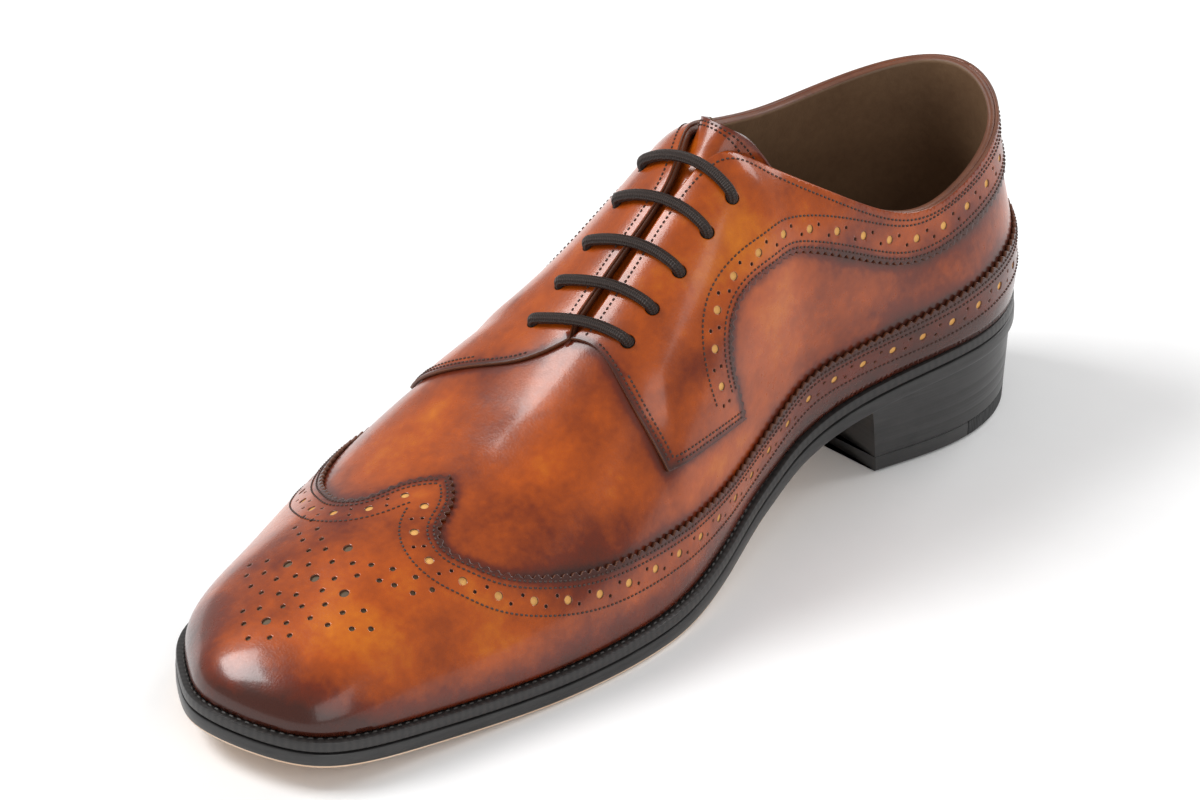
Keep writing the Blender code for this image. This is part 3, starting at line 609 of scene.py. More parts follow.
# near black floors for pinholes and lace holes: painted shade in narrow holes
paintedHoleShade = plainHide("paintedHoleShade", (0.045, 0.020, 0.012), (0.02, 0.010, 0.007), 0.7)
thread = sewingThread("brownThread", (0.060, 0.026, 0.017))
cord = waxedCord("waxedLace", (0.036, 0.021, 0.016))
edgeInk = inkedEdge("blackSoleEdge")
weltInk = wheeledWelt("wheeledWelt", 2.3)
paleSole = soleLeather("paleSoleLeather")
stitchDark = sewingThread("soleThread", (0.13, 0.085, 0.055))
weltThread = sewingThread("weltThread", (0.030, 0.025, 0.022))
rubber = ribbedRubber("ribbedRubber", 0.0016)
smoothBlack = inkedEdge("smoothBlackLift")
print("finishes ready")


# meshes
def makePiece(name, points, faces, finishes, away=None, weld=False, closed=False, faceFinish=None,
              stand=()):
    # toFrame turns the shoe over in a mirror, so the faces are laid the other way round
    mesh = bpy.data.meshes.new(name)
    mesh.from_pydata(toFrame(points).tolist(), [], [list(map(int, f))[::-1] for f in faces])
    piece = bpy.data.objects.new(name, mesh)
    bpy.context.collection.objects.link(piece)
    for finish in finishes:
        mesh.materials.append(finish)
    if faceFinish is not None:
        mesh.polygons.foreach_set("material_index", np.asarray(faceFinish, np.int32))
    if weld or closed:
        work = bmesh.new()
        work.from_mesh(mesh)
        if weld:
            bmesh.ops.remove_doubles(work, verts=work.verts, dist=2e-6)
        if closed:
            bmesh.ops.recalc_face_normals(work, faces=work.faces)
        work.to_mesh(mesh)
        work.free()
    if away is not None:
        # an open sheet faces away from this place
        centre = Vector(toFrame(away).tolist())
        if sum((p.center - centre).dot(p.normal) * p.area for p in mesh.polygons) < 0:
            mesh.flip_normals()
    mesh.shade_smooth()
    mesh.set_sharp_from_angle(angle=math.radians(38))
    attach(piece, "root")
    if stand:
        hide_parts(*stand)
    return piece


def giveAttribute(piece, name, values):
    layer = piece.data.attributes.new(name, "FLOAT", "POINT")
    layer.data.foreach_set("value", np.asarray(values, np.float32))


def thicken(piece, thickness, rimFinish, innerFinish=0):
    # the outer face stays where it is and the wall grows inwards
    wall = piece.modifiers.new("wall", "SOLIDIFY")
    wall.thickness = thickness * 0.001
    wall.offset = -1.0
    wall.use_quality_normals = True
    wall.material_offset = innerFinish
    wall.material_offset_rim = rimFinish


def readPoints(piece):
    # a piece's points back in the shoe's millimetres
    flat = np.empty(len(piece.data.vertices) * 3)
    piece.data.vertices.foreach_get("co", flat)
    p = flat.reshape(-1, 3) * 1000 - shift
    return np.stack([p[:, 0], shoe["length"] / 2 - p[:, 1], p[:, 2]], -1)


# lighter and darker spots: partly burnish, partly painted highlight and painted shade
toneSpotsWithPaintedLight = [  # x, along, z, width, change of tone
    (10, 222, 46, 14, -0.12), (36, 208, 30, 16, 0.24), (24, 128, 92, 18, -0.26), (30, 140, 62, 14, 0.12),
    (-20, 214, 44, 16, -0.08), (-28, 136, 84, 20, -0.16), (31, 160, 50, 10, 0.16), (24, 268, 30, 15, -0.14),
    (40, 232, 22, 12, -0.10), (-14, 282, 24, 16, 0.26), (33, 60, 50, 22, 0.12), (26, 104, 84, 14, -0.10),
    (34, 100, 44, 14, 0.14), (16, 240, 38, 9, 0.14), (14, 278, 26, 9, -0.16), (-6, 262, 34, 12, 0.12),
    (30, 168, 44, 12, -0.12), (36, 140, 40, 16, -0.10), (2, 198, 58, 12, 0.16), (28, 288, 18, 12, 0.14)]


def toneWithPaintedLightAt(p):
    # tone over the shoe: dark toe tip, feather, waist and heel; light vamp sides and facings
    # the toe tip, feather, waist and heel terms are burnish; the listed spots add lighter and darker
    # patches, partly burnish and partly painted highlight and painted shade
    x, along, z = p[:, 0], p[:, 1], p[:, 2]
    high = z - soleBottom(along) - shoe["outsole"] - shoe["welt"]
    tone = np.full(len(p), 0.42)
    tone += 0.42 * np.exp(-(high / 8.0)**2)
    tone += 0.26 * ease((150 - along) / 60) * ease((26 - high) / 14)
    tone += 0.34 * ease((along - 262) / 40) * ease((12 - high) / 24 + 0.5)
    tone += 0.16 * np.exp(-((along - 246) / 14)**2) * np.exp(-((x + 14) / 16)**2)
    tone += 0.26 * ease((70 - along) / 70) * ease((70 - z) / 60)
    tone += 0.14 * np.exp(-((z - 84) / 14)**2) * ease((110 - along) / 60)
    for cx, ca, cz, wide, amount in toneSpotsWithPaintedLight:
        away = ((x - cx)**2 + (along - ca)**2 + (z - cz)**2) / wide**2
        tone += amount * np.exp(-away)
    return np.clip(tone, 0, 1)


def gridFaces(rows, columns, wrap=False):
    # quads over a grid of points stored row by row
    i = np.arange(rows - 1)[:, None] * columns
    j = np.arange(columns if wrap else columns - 1)[None, :]
    after = (j + 1) % columns
    return np.stack([i + j, i + after, i + columns + after, i + columns + j], -1).reshape(-1, 4)


def nearest(p, line):
    # distance from each point to the closest point of a dense line
    out = np.empty(len(p))
    for start in range(0, len(p), 2000):
        part = p[start:start + 2000]
        gap = (part**2).sum(1)[:, None] + (line**2).sum(1)[None] - 2 * part @ line.T
        out[start:start + 2000] = np.sqrt(np.maximum(gap.min(1), 0))
    return out


netLook = {"pitch": 1.7, "rows": 44, "fan": 25.0, "clear": 0.62, "holeClear": 0.5, "guardClear": 0.17,
           "holeGuard": 0.28, "edgeGuard": 0.3, "topGuard": 0.4, "seamGap": 0.003}


def planOf(places):
    # the last opened flat: sections fanned out round the sole, so that no two places share a point
    reach, rise = folded(places[:, 0], places[:, 1])
    edge, _, _, along, mid, _, _, wide, *_ = lastFrame(reach)
    parted = ease((shoe["throat"] - along) / shoe["throatRound"])
    out = outward(reach)
    foot = outline(reach) - out * edge[:, None]
    rest = (1 - rise)[:, None]
    top = np.stack([mid + parted * wide, along], -1)
    return foot * rest + top * (1 - rest) + out * rest * netLook["fan"]


def netInside(start, lowest=0.0, highest=1.0):
    # a grid of places over the last, thinned by halves where the sections crowd together
    pitch = netLook["pitch"]
    columns = int(round((seam - start) * aroundHalf / pitch / 16)) * 16
    r = np.linspace(start, seam, columns + 1)
    v = np.linspace(0, 1, netLook["rows"] + 1)[1:]
    grid = np.stack(np.meshgrid(r, v, indexing="ij"), -1)
    slope = steps(grid[..., 0].ravel(), grid[..., 1].ravel())[0]
    apart = np.linalg.norm(slope, axis=1).reshape(grid.shape[:2]) * (r[1] - r[0])
    skip = 2 ** np.clip(np.round(np.log2(pitch / np.maximum(apart, 1e-6))), 0, 4).astype(int)
    net = grid[np.arange(columns + 1)[:, None] % skip == 0]
    inside = (net[:, 1] > lowest) & (net[:, 1] <= highest)
    return net[inside & (np.abs(net[:, 0]) < seam - netLook["seamGap"])]


def cutPanel(name, loop, punches, guards, net, stand, rimLines):
    # a flat cut piece laid over the last: its outline and holes are constraint lines of a Delaunay net,
    # with a guard row just inside each so that the shading turns close to the edge
    holes = [circleOn(*punch) for punch in punches]
    guard = np.vstack(guards + [circleOn(spots, size + netLook["holeGuard"], sides).reshape(-1, 2)
                                for spots, size, sides in punches])
    rings = [loop] + [ring for group in holes for ring in group]
    lines = np.vstack(rings)
    onRidge = (net[:, 1] > 0.9999) & (np.abs(net[:, 0]) < closedReach)
    keep = (nearest(laid(net), laid(lines)) > netLook["clear"]) & ~(onRidge & (net[:, 0] < -1e-6))
    for group in holes:
        spots = laid(group)
        middle = spots.mean(1)
        reachOut = np.linalg.norm(spots - middle[:, None], axis=-1).max() + netLook["holeClear"]
        keep &= nearest(laid(net), middle) > reachOut
    guard = guard[nearest(laid(guard), laid(lines)) > netLook["guardClear"]]
    places = np.vstack([lines, net[keep], guard])
    ringOf = np.full(len(places), -1)
    ringOf[:len(lines)] = np.repeat(np.arange(len(rings)), [len(ring) for ring in rings])
    starts = np.concatenate([[0], np.cumsum([len(ring) for ring in rings])])
    edges = []
    for a, b in zip(starts[:-1].tolist(), starts[1:].tolist()):
        edges += [(i, i + 1 if i + 1 < b else a) for i in range(a, b)]
    flat = planOf(places)
    corners, _, found, ids, _, _ = delaunay_2d_cdt([Vector(q) for q in flat.tolist()], edges, [], 1, 1e-5)
    source = np.array([own[0] if own else -1 for own in ids])
    for i in np.flatnonzero(source < 0):
        source[i] = ((np.array(corners[i]) - flat)**2).sum(-1).argmin()
    tris = source[np.array(found)]
    owner = ringOf[tris]
    inHole = (owner[:, 0] > 0) & (owner[:, 0] == owner[:, 1]) & (owner[:, 1] == owner[:, 2])
    flatTri = (tris[:, 0] == tris[:, 1]) | (tris[:, 1] == tris[:, 2]) | (tris[:, 0] == tris[:, 2])
    tris = tris[~inHole & ~flatTri]
    a, b, c = (flat[tris[:, k]] for k in range(3))
    area = (b[:, 0] - a[:, 0]) * (c[:, 1] - a[:, 1]) - (b[:, 1] - a[:, 1]) * (c[:, 0] - a[:, 0])
    tris[area < 0] = tris[area < 0][:, ::-1]
    used, tris = np.unique(tris, return_inverse=True)
    points = laid(places, panelLook["lift"] + panelLook["thickness"])[used]
    piece = makePiece(name, points, tris.reshape(-1, 3), [calf, cutEdge], away=lastMiddle,
                      stand=stand)
    thicken(piece, panelLook["thickness"], 1)
    dressTone(piece, rimLines)
    print(name, "cut", len(piece.data.polygons), "faces")
    return piece


def dressTone(piece, lines, width=1.3, share=1.0):
    # burnish with painted highlights and painted shade, and a share of darkness close to cut edges: a narrow
    # bell on a wide one; by a panel's own edges that darkness is real, on the upper skin beside the panels'
    # rims it is painted shade
    p = readPoints(piece)
    giveAttribute(piece, "burnish", toneWithPaintedLightAt(p))
    near = np.zeros(len(p))
    for line in lines:
        gap = nearest(p, line)
        near = np.maximum(near, np.exp(-(gap / width)**2) + 0.28 * np.exp(-(gap / (4 * width))**2))
    giveAttribute(piece, "edgeNear", near * share)


def gimped(curve, side):
    # pinked edge: rounded teeth cut back from the line
    even, length = evenly(curve, band["teeth"] / 8)
    wave = np.cos(np.linspace(0, 2 * np.pi * round(length / band["teeth"]), len(even)))
    return sideStep(even, side * band["depth"] * (0.5 - 0.5 * np.sign(wave) * np.abs(wave)**0.6), 1)


ridgeLine = 0.9985  # highest rise of a line kept to one side of the ridge


def trimRidge(curve, atStart):
    # an offset line kept to its own side of the ridge
    inside = np.flatnonzero(curve[:, 1] <= ridgeLine)
    return curve[inside[0]:] if atStart else curve[:inside[-1] + 1]


def bandHoles(curve, side):
    # big holes down the middle of a band, a pair of small ones across it between every two
    middle = sideStep(curve, side * band["middle"])
    middle = middle[middle[:, 1] <= ridgeLine]
    count = int(round(evenly(middle, 1.0)[1] / band["pitch"]))
    big = atShares(middle, (np.arange(count) + 0.5) / count)
    rows = [sideStep(middle, side * off, 2) for off in (-band["pair"], band["pair"])]
    small = np.vstack([atShares(row, np.arange(1, count) / count) for row in rows])
    return big, small[small[:, 1] < 0.99]


def stitches(name, rows, finish, gauge=0.29, pitch=1.5, cover=0.74):
    # each row is points and normals; a stitch is four five-sided rings, its thin ends sunk in the leather
    every = []
    turn = np.linspace(0, 2 * np.pi, 5, endpoint=False)
    rounds = np.array([0.45, 1.0, 1.0, 0.45]) * gauge
    at = np.array([0.0, 0.22, 0.78, 1.0]) * cover
    height = np.array([-0.7, 0.12, 0.12, -0.7]) * gauge
    for p, n in rows:
        run = runAlong(p)
        count = max(1, int(round(run[-1] / pitch)))
        s = (np.arange(count)[:, None] + at[None] + (1 - cover) / 2) / count * run[-1]
        centre = readAlong(s, run, p)
        up = unit(readAlong(s, run, n))
        way = unit(np.broadcast_to(centre[:, -1:] - centre[:, :1], centre.shape))
        up = unit(up - way * (up * way).sum(-1, keepdims=True))
        side = np.cross(way, up)
        centre = centre + up * height[None, :, None]
        ring = up[:, :, None] * np.cos(turn)[:, None] + side[:, :, None] * np.sin(turn)[:, None]
        every.append(centre[:, :, None] + ring * rounds[None, :, None, None])
    every = np.concatenate(every)
    one = gridFaces(4, 5, True).tolist() + [[4, 3, 2, 1, 0], [15, 16, 17, 18, 19]]
    base = np.arange(len(every)) * 20
    quads = (np.array(one[:15])[None] + base[:, None, None]).reshape(-1, 4).tolist()
    caps = (np.array(one[15:])[None] + base[:, None, None]).reshape(-1, 5).tolist()
    makePiece(name, every.reshape(-1, 3), quads + caps, [finish])
    print(name, len(every), "stitches")


def sewnRow(curve):
    # a row for stitches on the panels: places 0.6 mm apart, lifted, with their normals
    even = evenly(curve, 0.6)[0]
    return laid(even, panelLook["stitchLift"]), lastNormal(*folded(even[:, 0], even[:, 1]))


def discs(name, places, radius, high, finish):
    # closed low discs under punched holes, fans of ten sides over and under a wall
    sides = 10
    low = 0.05
    ring = circleOn(places, radius, sides)
    middle = places[:, None]
    points = np.concatenate([laid(middle, low), laid(ring, low), laid(ring, high), laid(middle, high)], 1)
    j = np.arange(sides)
    k = (j + 1) % sides
    caps = np.concatenate([np.stack([0 * j, 1 + k, 1 + j], -1),
                           np.stack([0 * j + 1 + 2 * sides, 1 + sides + j, 1 + sides + k], -1)])
    walls = np.stack([1 + j, 1 + k, 1 + sides + k, 1 + sides + j], -1)
    base = (np.arange(len(places)) * (2 + 2 * sides))[:, None, None]
    faces = (caps[None] + base).reshape(-1, 3).tolist() + (walls[None] + base).reshape(-1, 4).tolist()
    makePiece(name, points.reshape(-1, 3), faces, [finish], closed=True)


# the seamless body of the upper
upperLook = {"around": 480, "up": 60, "wall": 2.0}
lastMiddle = (0, 150, 40)  # x, along and height inside the last
r, v = np.meshgrid(np.linspace(-1, 1, upperLook["around"] + 1), np.linspace(0, 1, upperLook["up"] + 1))
upperSkin = makePiece("upperSkin", lifted(r.ravel(), v.ravel(), 0),
                      gridFaces(upperLook["up"] + 1, upperLook["around"] + 1), [calf, lining, cutEdge],
                      away=lastMiddle, weld=True, stand=["upper"])
thicken(upperSkin, upperLook["wall"], 2, 1)
print("upper skin laid")

# panel edges as dense lines of reach and rise: the wing's with reach rising, the facings' from front to back
mirror = np.array([-1.0, 1.0])
wingSmooth = smoothLine(wingLine)
wingSmooth[:, 0] = np.minimum(wingSmooth[:, 0], seam)
wingEdge = {1: evenly(wingSmooth, 1.4)[0], -1: evenly(wingSmooth * mirror, 1.4)[0][::-1]}
rearEdge = {}
frontEdge = {}
lowEdge = {}
topEdge = {}
for hand in (1, -1):
    rear = smoothLine(facingRear[1:])
    rear[:, 0] = np.minimum(rear[:, 0], seam)
    front = smoothLine(facingFront[hand])
    corners = [facingFront[hand][-1], *facingRear[:2]]
    lowerSide = readAlong(np.linspace(0, 2, 61), range(3), corners)
    top = np.stack([np.linspace(facingFront[hand][0][0], seam, 400), np.ones(400)], -1)
    for store, curve, apart in ((rearEdge, rear, 1.4), (frontEdge, front, 0.8), (lowEdge, lowerSide, 0.8),
                                (topEdge, top, 1.2)):
        flip = mirror if hand < 0 else 1.0
        store[hand] = evenly(curve * flip, apart)[0]

band = {"teeth": 2.8, "depth": 1.0, "rows": (1.9, 3.6), "middle": 7.0, "pair": 1.35, "inner": 10.9,
        "pitch": 10.5, "big": 1.2, "small": 0.55, "roseBig": 1.35, "rosePin": 0.78}
panelLook = {"lift": 0.15, "thickness": 1.1, "stitchLift": 1.25, "rimLift": 1.2}
facingLook = {"rows": [(1.5, 0.95), (3.1, 0.80)],  # how far in a line of stitching lies, rise where it ends
              "topRow": 2.2, "bigClear": 5.5, "smallClear": 4.5}


def bandRows(curve, side):
    # the lines of stitching along a band, moved in from its edge
    return [sideStep(curve, side * off) for off in (*band["rows"], band["inner"])]


# wing cap with its medallion
medallionBig = [(0, 265.2), (0, 253.1), (0, 282.8), (10.9, 264.8)]
medallionSmall = [
    (24.5, 246.2), (19.8, 247.6), (22.5, 251.3), (14.4, 250.7), (18.2, 253.8), (14.7, 255.8), (9.5, 253.7),
    (9.3, 258.6), (5.2, 256.3), (0, 258.8), (18.5, 265.2), (23.2, 267.2), (5, 262.7), (20.2, 271.1),
    (15.1, 269.4), (9.4, 270.3), (5.2, 267.3), (14.8, 274.5), (9.4, 275.7), (4.5, 274.1), (0, 272),
    (0, 276.8), (9, 282.8), (5.2, 280.4), (5, 286.2), (0, 289.3)]


def bothSides(table, centre=3.2):
    spots = [(centre + x * hand, along) for x, along in table for hand in ((1, -1) if x else (1,))]
    return placeAt(*np.array(spots).T)


stitchRows = []
wingBands = [bandHoles(wingEdge[hand], 1) for hand in (1, -1)]
wingBig, wingSmall = (np.vstack(group) for group in zip(*wingBands))
for hand in (1, -1):
    stitchRows += [sewnRow(trimRidge(row, hand > 0)) for row in bandRows(wingEdge[hand], 1)]
roseBig = bothSides(medallionBig)
rosePins = bothSides(medallionSmall)
wingTeeth = {hand: gimped(wingEdge[hand], 1) for hand in (1, -1)}
footLine = np.stack([np.linspace(-seam, seam, 900), np.full(900, 0.008)], -1)
wingLoop = np.vstack([footLine, wingTeeth[1][::-1][:-1], [(wingLine[0][0], 1.0)], wingTeeth[-1][::-1][1:]])
wingPunches = [(wingBig, band["big"], 14), (wingSmall, band["small"], 9), (roseBig, band["roseBig"], 16),
               (rosePins, band["rosePin"], 11)]
wingGuards = [trimRidge(sideStep(wingTeeth[hand], netLook["edgeGuard"], 1), hand > 0) for hand in (1, -1)]
rimLines = [laid(line, panelLook["rimLift"]) for line in wingTeeth.values()]
cutPanel("wingCap", wingLoop, wingPunches, wingGuards, netInside(-seam, lowest=0.02),
         ["wing_cap"], rimLines)

# facings with their bands and lace holes
laceLook = {"offset": 14.6, "hole": 1.95, "radius": 1.6, "over": 2.95}
bars = np.array(laceBars)
slitCentre = np.interp(bars[:, 0], lastRows[9:5:-1, col["topAlong"]], lastRows[9:5:-1, col["mid"]])
facingBig = []
facingSmall = []
laceSpots = []
for hand, name, node in ((1, "facingInner", "facing_inner"), (-1, "facingOuter", "facing_outer")):
    order = slice(None) if hand > 0 else slice(None, None, -1)
    rear = rearEdge[hand][order]  # reach rising on both hands
    front = frontEdge[hand]
    low = lowEdge[hand]
    big, small = bandHoles(rear, -1)
    big = big[nearest(laid(big), laid(low)) > facingLook["bigClear"]]
    small = small[nearest(laid(small), laid(low)) > facingLook["smallClear"]]
    spots = placeAt(slitCentre + hand * laceLook["offset"], bars[:, 0] - hand * bars[:, 1])
    facingBig.append(big)
    facingSmall.append(small)
    laceSpots.append(spots)
    stitchRows += [sewnRow(row) for row in bandRows(rear[8:] if hand > 0 else rear[:-8], -1)]
    for off, until in facingLook["rows"]:
        stitchRows.append(sewnRow(sideStep(front, -hand * off)[front[:, 1] < until][4:-3]))
        stitchRows.append(sewnRow(sideStep(low, -hand * off)[4:-3]))
    stitchRows.append(sewnRow(sideStep(topEdge[hand][order], facingLook["topRow"])[order][3:]))
    teeth = gimped(rear, -1)[order]
    loop = np.vstack([front, low[1:-1], teeth, topEdge[hand][::-1][:-1]])
    punches = [(big, band["big"], 14), (small, band["small"], 9), (spots, laceLook["hole"], 18)]
    guards = [sideStep(line[1:-1], -hand * netLook["edgeGuard"], 1) for line in (front, low)]
    guards.append(sideStep(teeth[order], -netLook["edgeGuard"], 1))
    guards.append(sideStep(topEdge[hand][order], netLook["topGuard"], 1)[2:-2])
    rims = [laid(line, panelLook["rimLift"]) for line in (front, low, teeth)]
    cutPanel(name, loop, punches, guards, netInside(0.36, highest=0.985) * (hand, 1),
             [node], rims)
    rimLines += rims
# on the upper skin the darkness by the panels' rims is painted shade under the overlay edges
dressTone(upperSkin, rimLines, 1.8)
brogueBig = np.vstack([wingBig, *facingBig])
brogueSmall = np.vstack([wingSmall, *facingSmall])
laceSpots = np.vstack(laceSpots)
discs("brogueHoleFloors", brogueBig, band["big"] * 1.15, 0.85, holeTan)
discs("medallionFloors", roseBig, band["roseBig"] * 1.12, 0.6, holeBrown)
discs("medallionPinFloors", rosePins, band["rosePin"] * 1.15, 0.6, holeBrown)
# pinhole floors near black: painted shade, where the big holes beside them show tan underlay
discs("pinholeShadeFloors", brogueSmall, band["small"] * 1.2, 0.6, paintedHoleShade)
# lace hole floors near black: painted shade inside the lace holes
discs("laceHoleShadeFloors", laceSpots, laceLook["hole"] * 1.12, 0.4, paintedHoleShade)
print("punched", len(brogueBig), "big holes and", len(brogueSmall), "small")
stitches("upperStitching", stitchRows, thread)


# tongue, arched over the collar
tongueLook = {"wall": 2.0, "clear": 0.7, "topClear": 1.3, "thickness": 2.4, "columns": 49, "rows": 90}
tongueTop = [  # reach, middle, along, height, spread
    (0.580, 3.4, 130.3, 102.2, 0.8), (0.598, 3.0, 125.3, 106.2, 1.2), (0.614, 2.5, 121.2, 109.3, 1.8),
    (0.632, 2.0, 117.9, 112.3, 3.0), (0.652, 1.8, 115.2, 114.6, 4.2), (0.670, 1.6, 113.0, 116.2, 5.2),
    (0.684, 1.5, 111.6, 117.2, 6.0)]


def tongueRow(reach, clear, crown):
    # held under both walls and over its crown, splined across by chord
    rise = np.array([0.74, 0.83, 0.92, 0.985])
    sink = tongueLook["wall"] + clear
    reach = np.full(4, reach)
    inner = lastPoint(reach, rise) - lastNormal(reach, rise) * sink
    outer = lastPoint(-reach, rise[::-1]) - lastNormal(-reach, rise[::-1]) * sink
    held = np.vstack([inner, crown, outer])
    run = runAlong(held)
    return splineOpen(run / run[-1], held, np.linspace(0, 1, tongueLook["columns"]))


noCrown = np.empty((0, 3))
tongueHeld = [tongueRow(reach, tongueLook["clear"], noCrown) for reach in np.linspace(0.446, 0.56, 7)]
for reach, middle, along, height, spread in tongueTop:
    crown = np.array([(middle + spread, along, height), (middle - spread, along, height)])
    tongueHeld.append(tongueRow(reach, tongueLook["topClear"], crown))
tongueHeld = np.array(tongueHeld)
rows, columns = tongueLook["rows"], tongueLook["columns"]
held = len(tongueHeld)
fine = splineOpen(np.arange(held), tongueHeld.reshape(held, -1), np.linspace(0, held - 1, rows))
tongueSheet = fine.reshape(rows, columns, 3)
tongue = makePiece("tongueSheet", tongueSheet.reshape(-1, 3), gridFaces(rows, columns), [calf, lining],
                   away=(2, 90, 50), stand=["tongue"])
thicken(tongue, tongueLook["thickness"], 0, 1)
dressTone(tongue, [tongueSheet[-1]], 0.9, 0.55)
across = unit(np.gradient(tongueSheet, axis=1))
upwards = unit(np.gradient(tongueSheet, axis=0))
tongueNormal = unit(np.cross(upwards, across))
tongueNormal *= np.sign(tongueNormal[..., 2:].mean())
stitches("tongueStitching", [(tongueSheet[k, 2:-2], tongueNormal[k, 2:-2]) for k in (-6, -10)], thread)
print("tongue sewn")


# laces
def tube(name, path, radius, sides, finish, stand, crossing):
    # a ring of points carried along a path; its map has u round it and v along it in widths
    way = unit(np.gradient(path, axis=0))
    first = unit(np.cross(crossing, way))
    second = np.cross(way, first)
    turn = np.linspace(0, 2 * np.pi, sides, endpoint=False)
    ring = first[:, None] * np.cos(turn)[:, None] + second[:, None] * np.sin(turn)[:, None]
    points = path[:, None] + ring * radius
    count = len(path)
    faces = gridFaces(count, sides, True)
    last = (count - 1) * sides
    caps = [list(range(sides))[::-1], [last + k for k in range(sides)]]
    piece = makePiece(name, points.reshape(-1, 3), faces.tolist() + caps, [finish], stand=stand)
    run = runAlong(path) / (2 * radius)
    u = np.arange(sides) / sides
    step = 1.0 / sides
    corners = np.empty((count - 1, sides, 4, 2))
    for k, (du, row) in enumerate(((0, 0), (step, 0), (step, 1), (0, 1))):
        corners[:, :, k, 0] = u[None] + du
        corners[:, :, k, 1] = run[row:count - 1 + row, None]
    corners = np.concatenate([corners[:, :, ::-1].reshape(-1, 2), np.zeros((2 * sides, 2))])
    layer = piece.data.uv_layers.new(name="laceMap")
    layer.data.foreach_set("uv", corners.astype(np.float32).ravel())


shares = np.array([1.02, 1.0, 0.93, 0.80, 0.64, 0.50])  # of the way out to the holes
lifts = np.array([0.25, 1.2, 2.6, laceLook["over"], laceLook["over"], laceLook["over"]])
for k, (along, climb) in enumerate(laceBars):
    ends = []
    for hand in (1, -1):
        spots = placeAt(slitCentre[k] + hand * laceLook["offset"] * shares, along - hand * climb * shares)
        ends.append(laid(spots, lifts))
    held = np.vstack([ends[0], ends[1][::-1]])
    run = runAlong(held)
    path = splineOpen(run, held, np.linspace(0, run[-1], 56))
    tube("laceBar%d" % (k + 1), path, laceLook["radius"], 18, cord, ["lace_bar_%d" % (k + 1)],
         (0.0, 1.0, 0.0))
print("laces run")


# sole, welt and heel
soleLook = {"stations": 520, "channel": 8.0, "groove": 0.45, "weltTop": 8.2, "weltBase": 4.65, "weltIn": 2.6}
around = np.linspace(-1, 1, soleLook["stations"], endpoint=False)


def levelRing(by, lift, reach=around):
    # the sole's edge moved in, at a height over its curved underside
    edge = inset(reach, np.full(len(reach), by))
    return np.c_[edge, soleBottom(edge[:, 1]) + lift]


def ladderCap(count):
    # faces across a ring, from the heel end to the toe, between matching places on both sides
    half = count // 2
    i = np.arange(1, half - 1)
    quads = np.stack([i, i + 1, count - i - 1, count - i], -1).tolist()
    return [[0, 1, count - 1]] + quads + [[half - 1, half, half + 1]]


def ringLoft(name, rings, finishes, bandFinish, stand, capped=True):
    # rings of one count joined in turn; closed by ladders across the first and last, or joined end to end
    count = len(rings[0])
    faces = gridFaces(len(rings), count, True).tolist()
    index = np.concatenate([np.broadcast_to(finish, count) for finish in bandFinish[:len(rings) - 1]])
    last = (len(rings) - 1) * count
    if capped:
        cap = ladderCap(count)
        faces += cap + [[last + i for i in f] for f in cap]
        index = np.concatenate([index, np.full(len(cap), bandFinish[0]), np.full(len(cap), bandFinish[-1])])
    else:
        j = np.arange(count)
        faces += np.stack([last + j, last + (j + 1) % count, (j + 1) % count, j], -1).tolist()
        index = np.concatenate([index, np.full(count, bandFinish[-1])])
    return makePiece(name, np.vstack(rings), faces, finishes, closed=True, faceFinish=index,
                     stand=stand)


groove = soleLook["channel"]
soleRings = [levelRing(by, lift) for by, lift in (
    (3.0, 4.6), (0.7, 4.6), (0.2, 4.4), (0, 4.0), (0, 1.0), (0.3, 0.35), (1.1, 0), (groove - 0.7, 0),
    (groove, soleLook["groove"]), (groove + 0.5, 0), (13.0, 0))]
bare = (np.abs(around) < 0.60).astype(int)  # the edge is inked right down over the waist and heel
ringLoft("outsoleLeather", soleRings, [edgeInk, paleSole], [0, 0, 0, 0, bare, bare, 1, 1, 1, 1, 1],
         ["outsole"])
channel = levelRing(groove, soleLook["groove"], np.linspace(-0.74, 0.74, 900))
down = np.tile((0.0, 0.0, -1.0), (len(channel), 1))
stitches("soleStitching", [(channel, down)], stitchDark, gauge=0.36, pitch=4.2, cover=0.62)

top = soleLook["weltTop"]
base = soleLook["weltBase"]
weltRings = [levelRing(by, lift) for by, lift in (
    (0.9, base), (0.25, base + 0.6), (0.2, base + 1.2), (0.2, top - 0.9), (0.45, top - 0.25), (1.1, top),
    (2.5, top - 0.05))]
innerEdge = inset(around, margin(around) + soleLook["weltIn"])
for lift in (top - 0.1, base):
    weltRings.append(np.c_[innerEdge, soleBottom(innerEdge[:, 1]) + lift])
welt = ringLoft("weltStrip", weltRings, [weltInk], [0] * 9, ["welt"], capped=False)
edgeReach = np.linspace(-1, 1, 4001)
edgeRun = np.interp(around, edgeReach, runAlong(outline(edgeReach)))
giveAttribute(welt, "run", np.tile(edgeRun, len(weltRings)))
weltRow = levelRing(2.3, top, np.linspace(-0.9995, 0.9995, 1600))
upwards = np.tile((0.0, 0.0, 1.0), (len(weltRow), 1))
stitches("weltStitching", [(weltRow, upwards)], weltThread, gauge=0.34, pitch=2.6, cover=0.7)
print("sole and welt built")

heelLook = {"insetFloor": 2.8, "insetTop": 1.2, "breast": 75.0, "rake": 3.0, "hollow": 2.5, "side": 70,
            "front": 25, "topPiece": 5.0, "lifts": (9.2, 13.4, 17.6), "line": 0.05, "split": 36.0,
            "skew": 7.0, "parting": 0.00015}


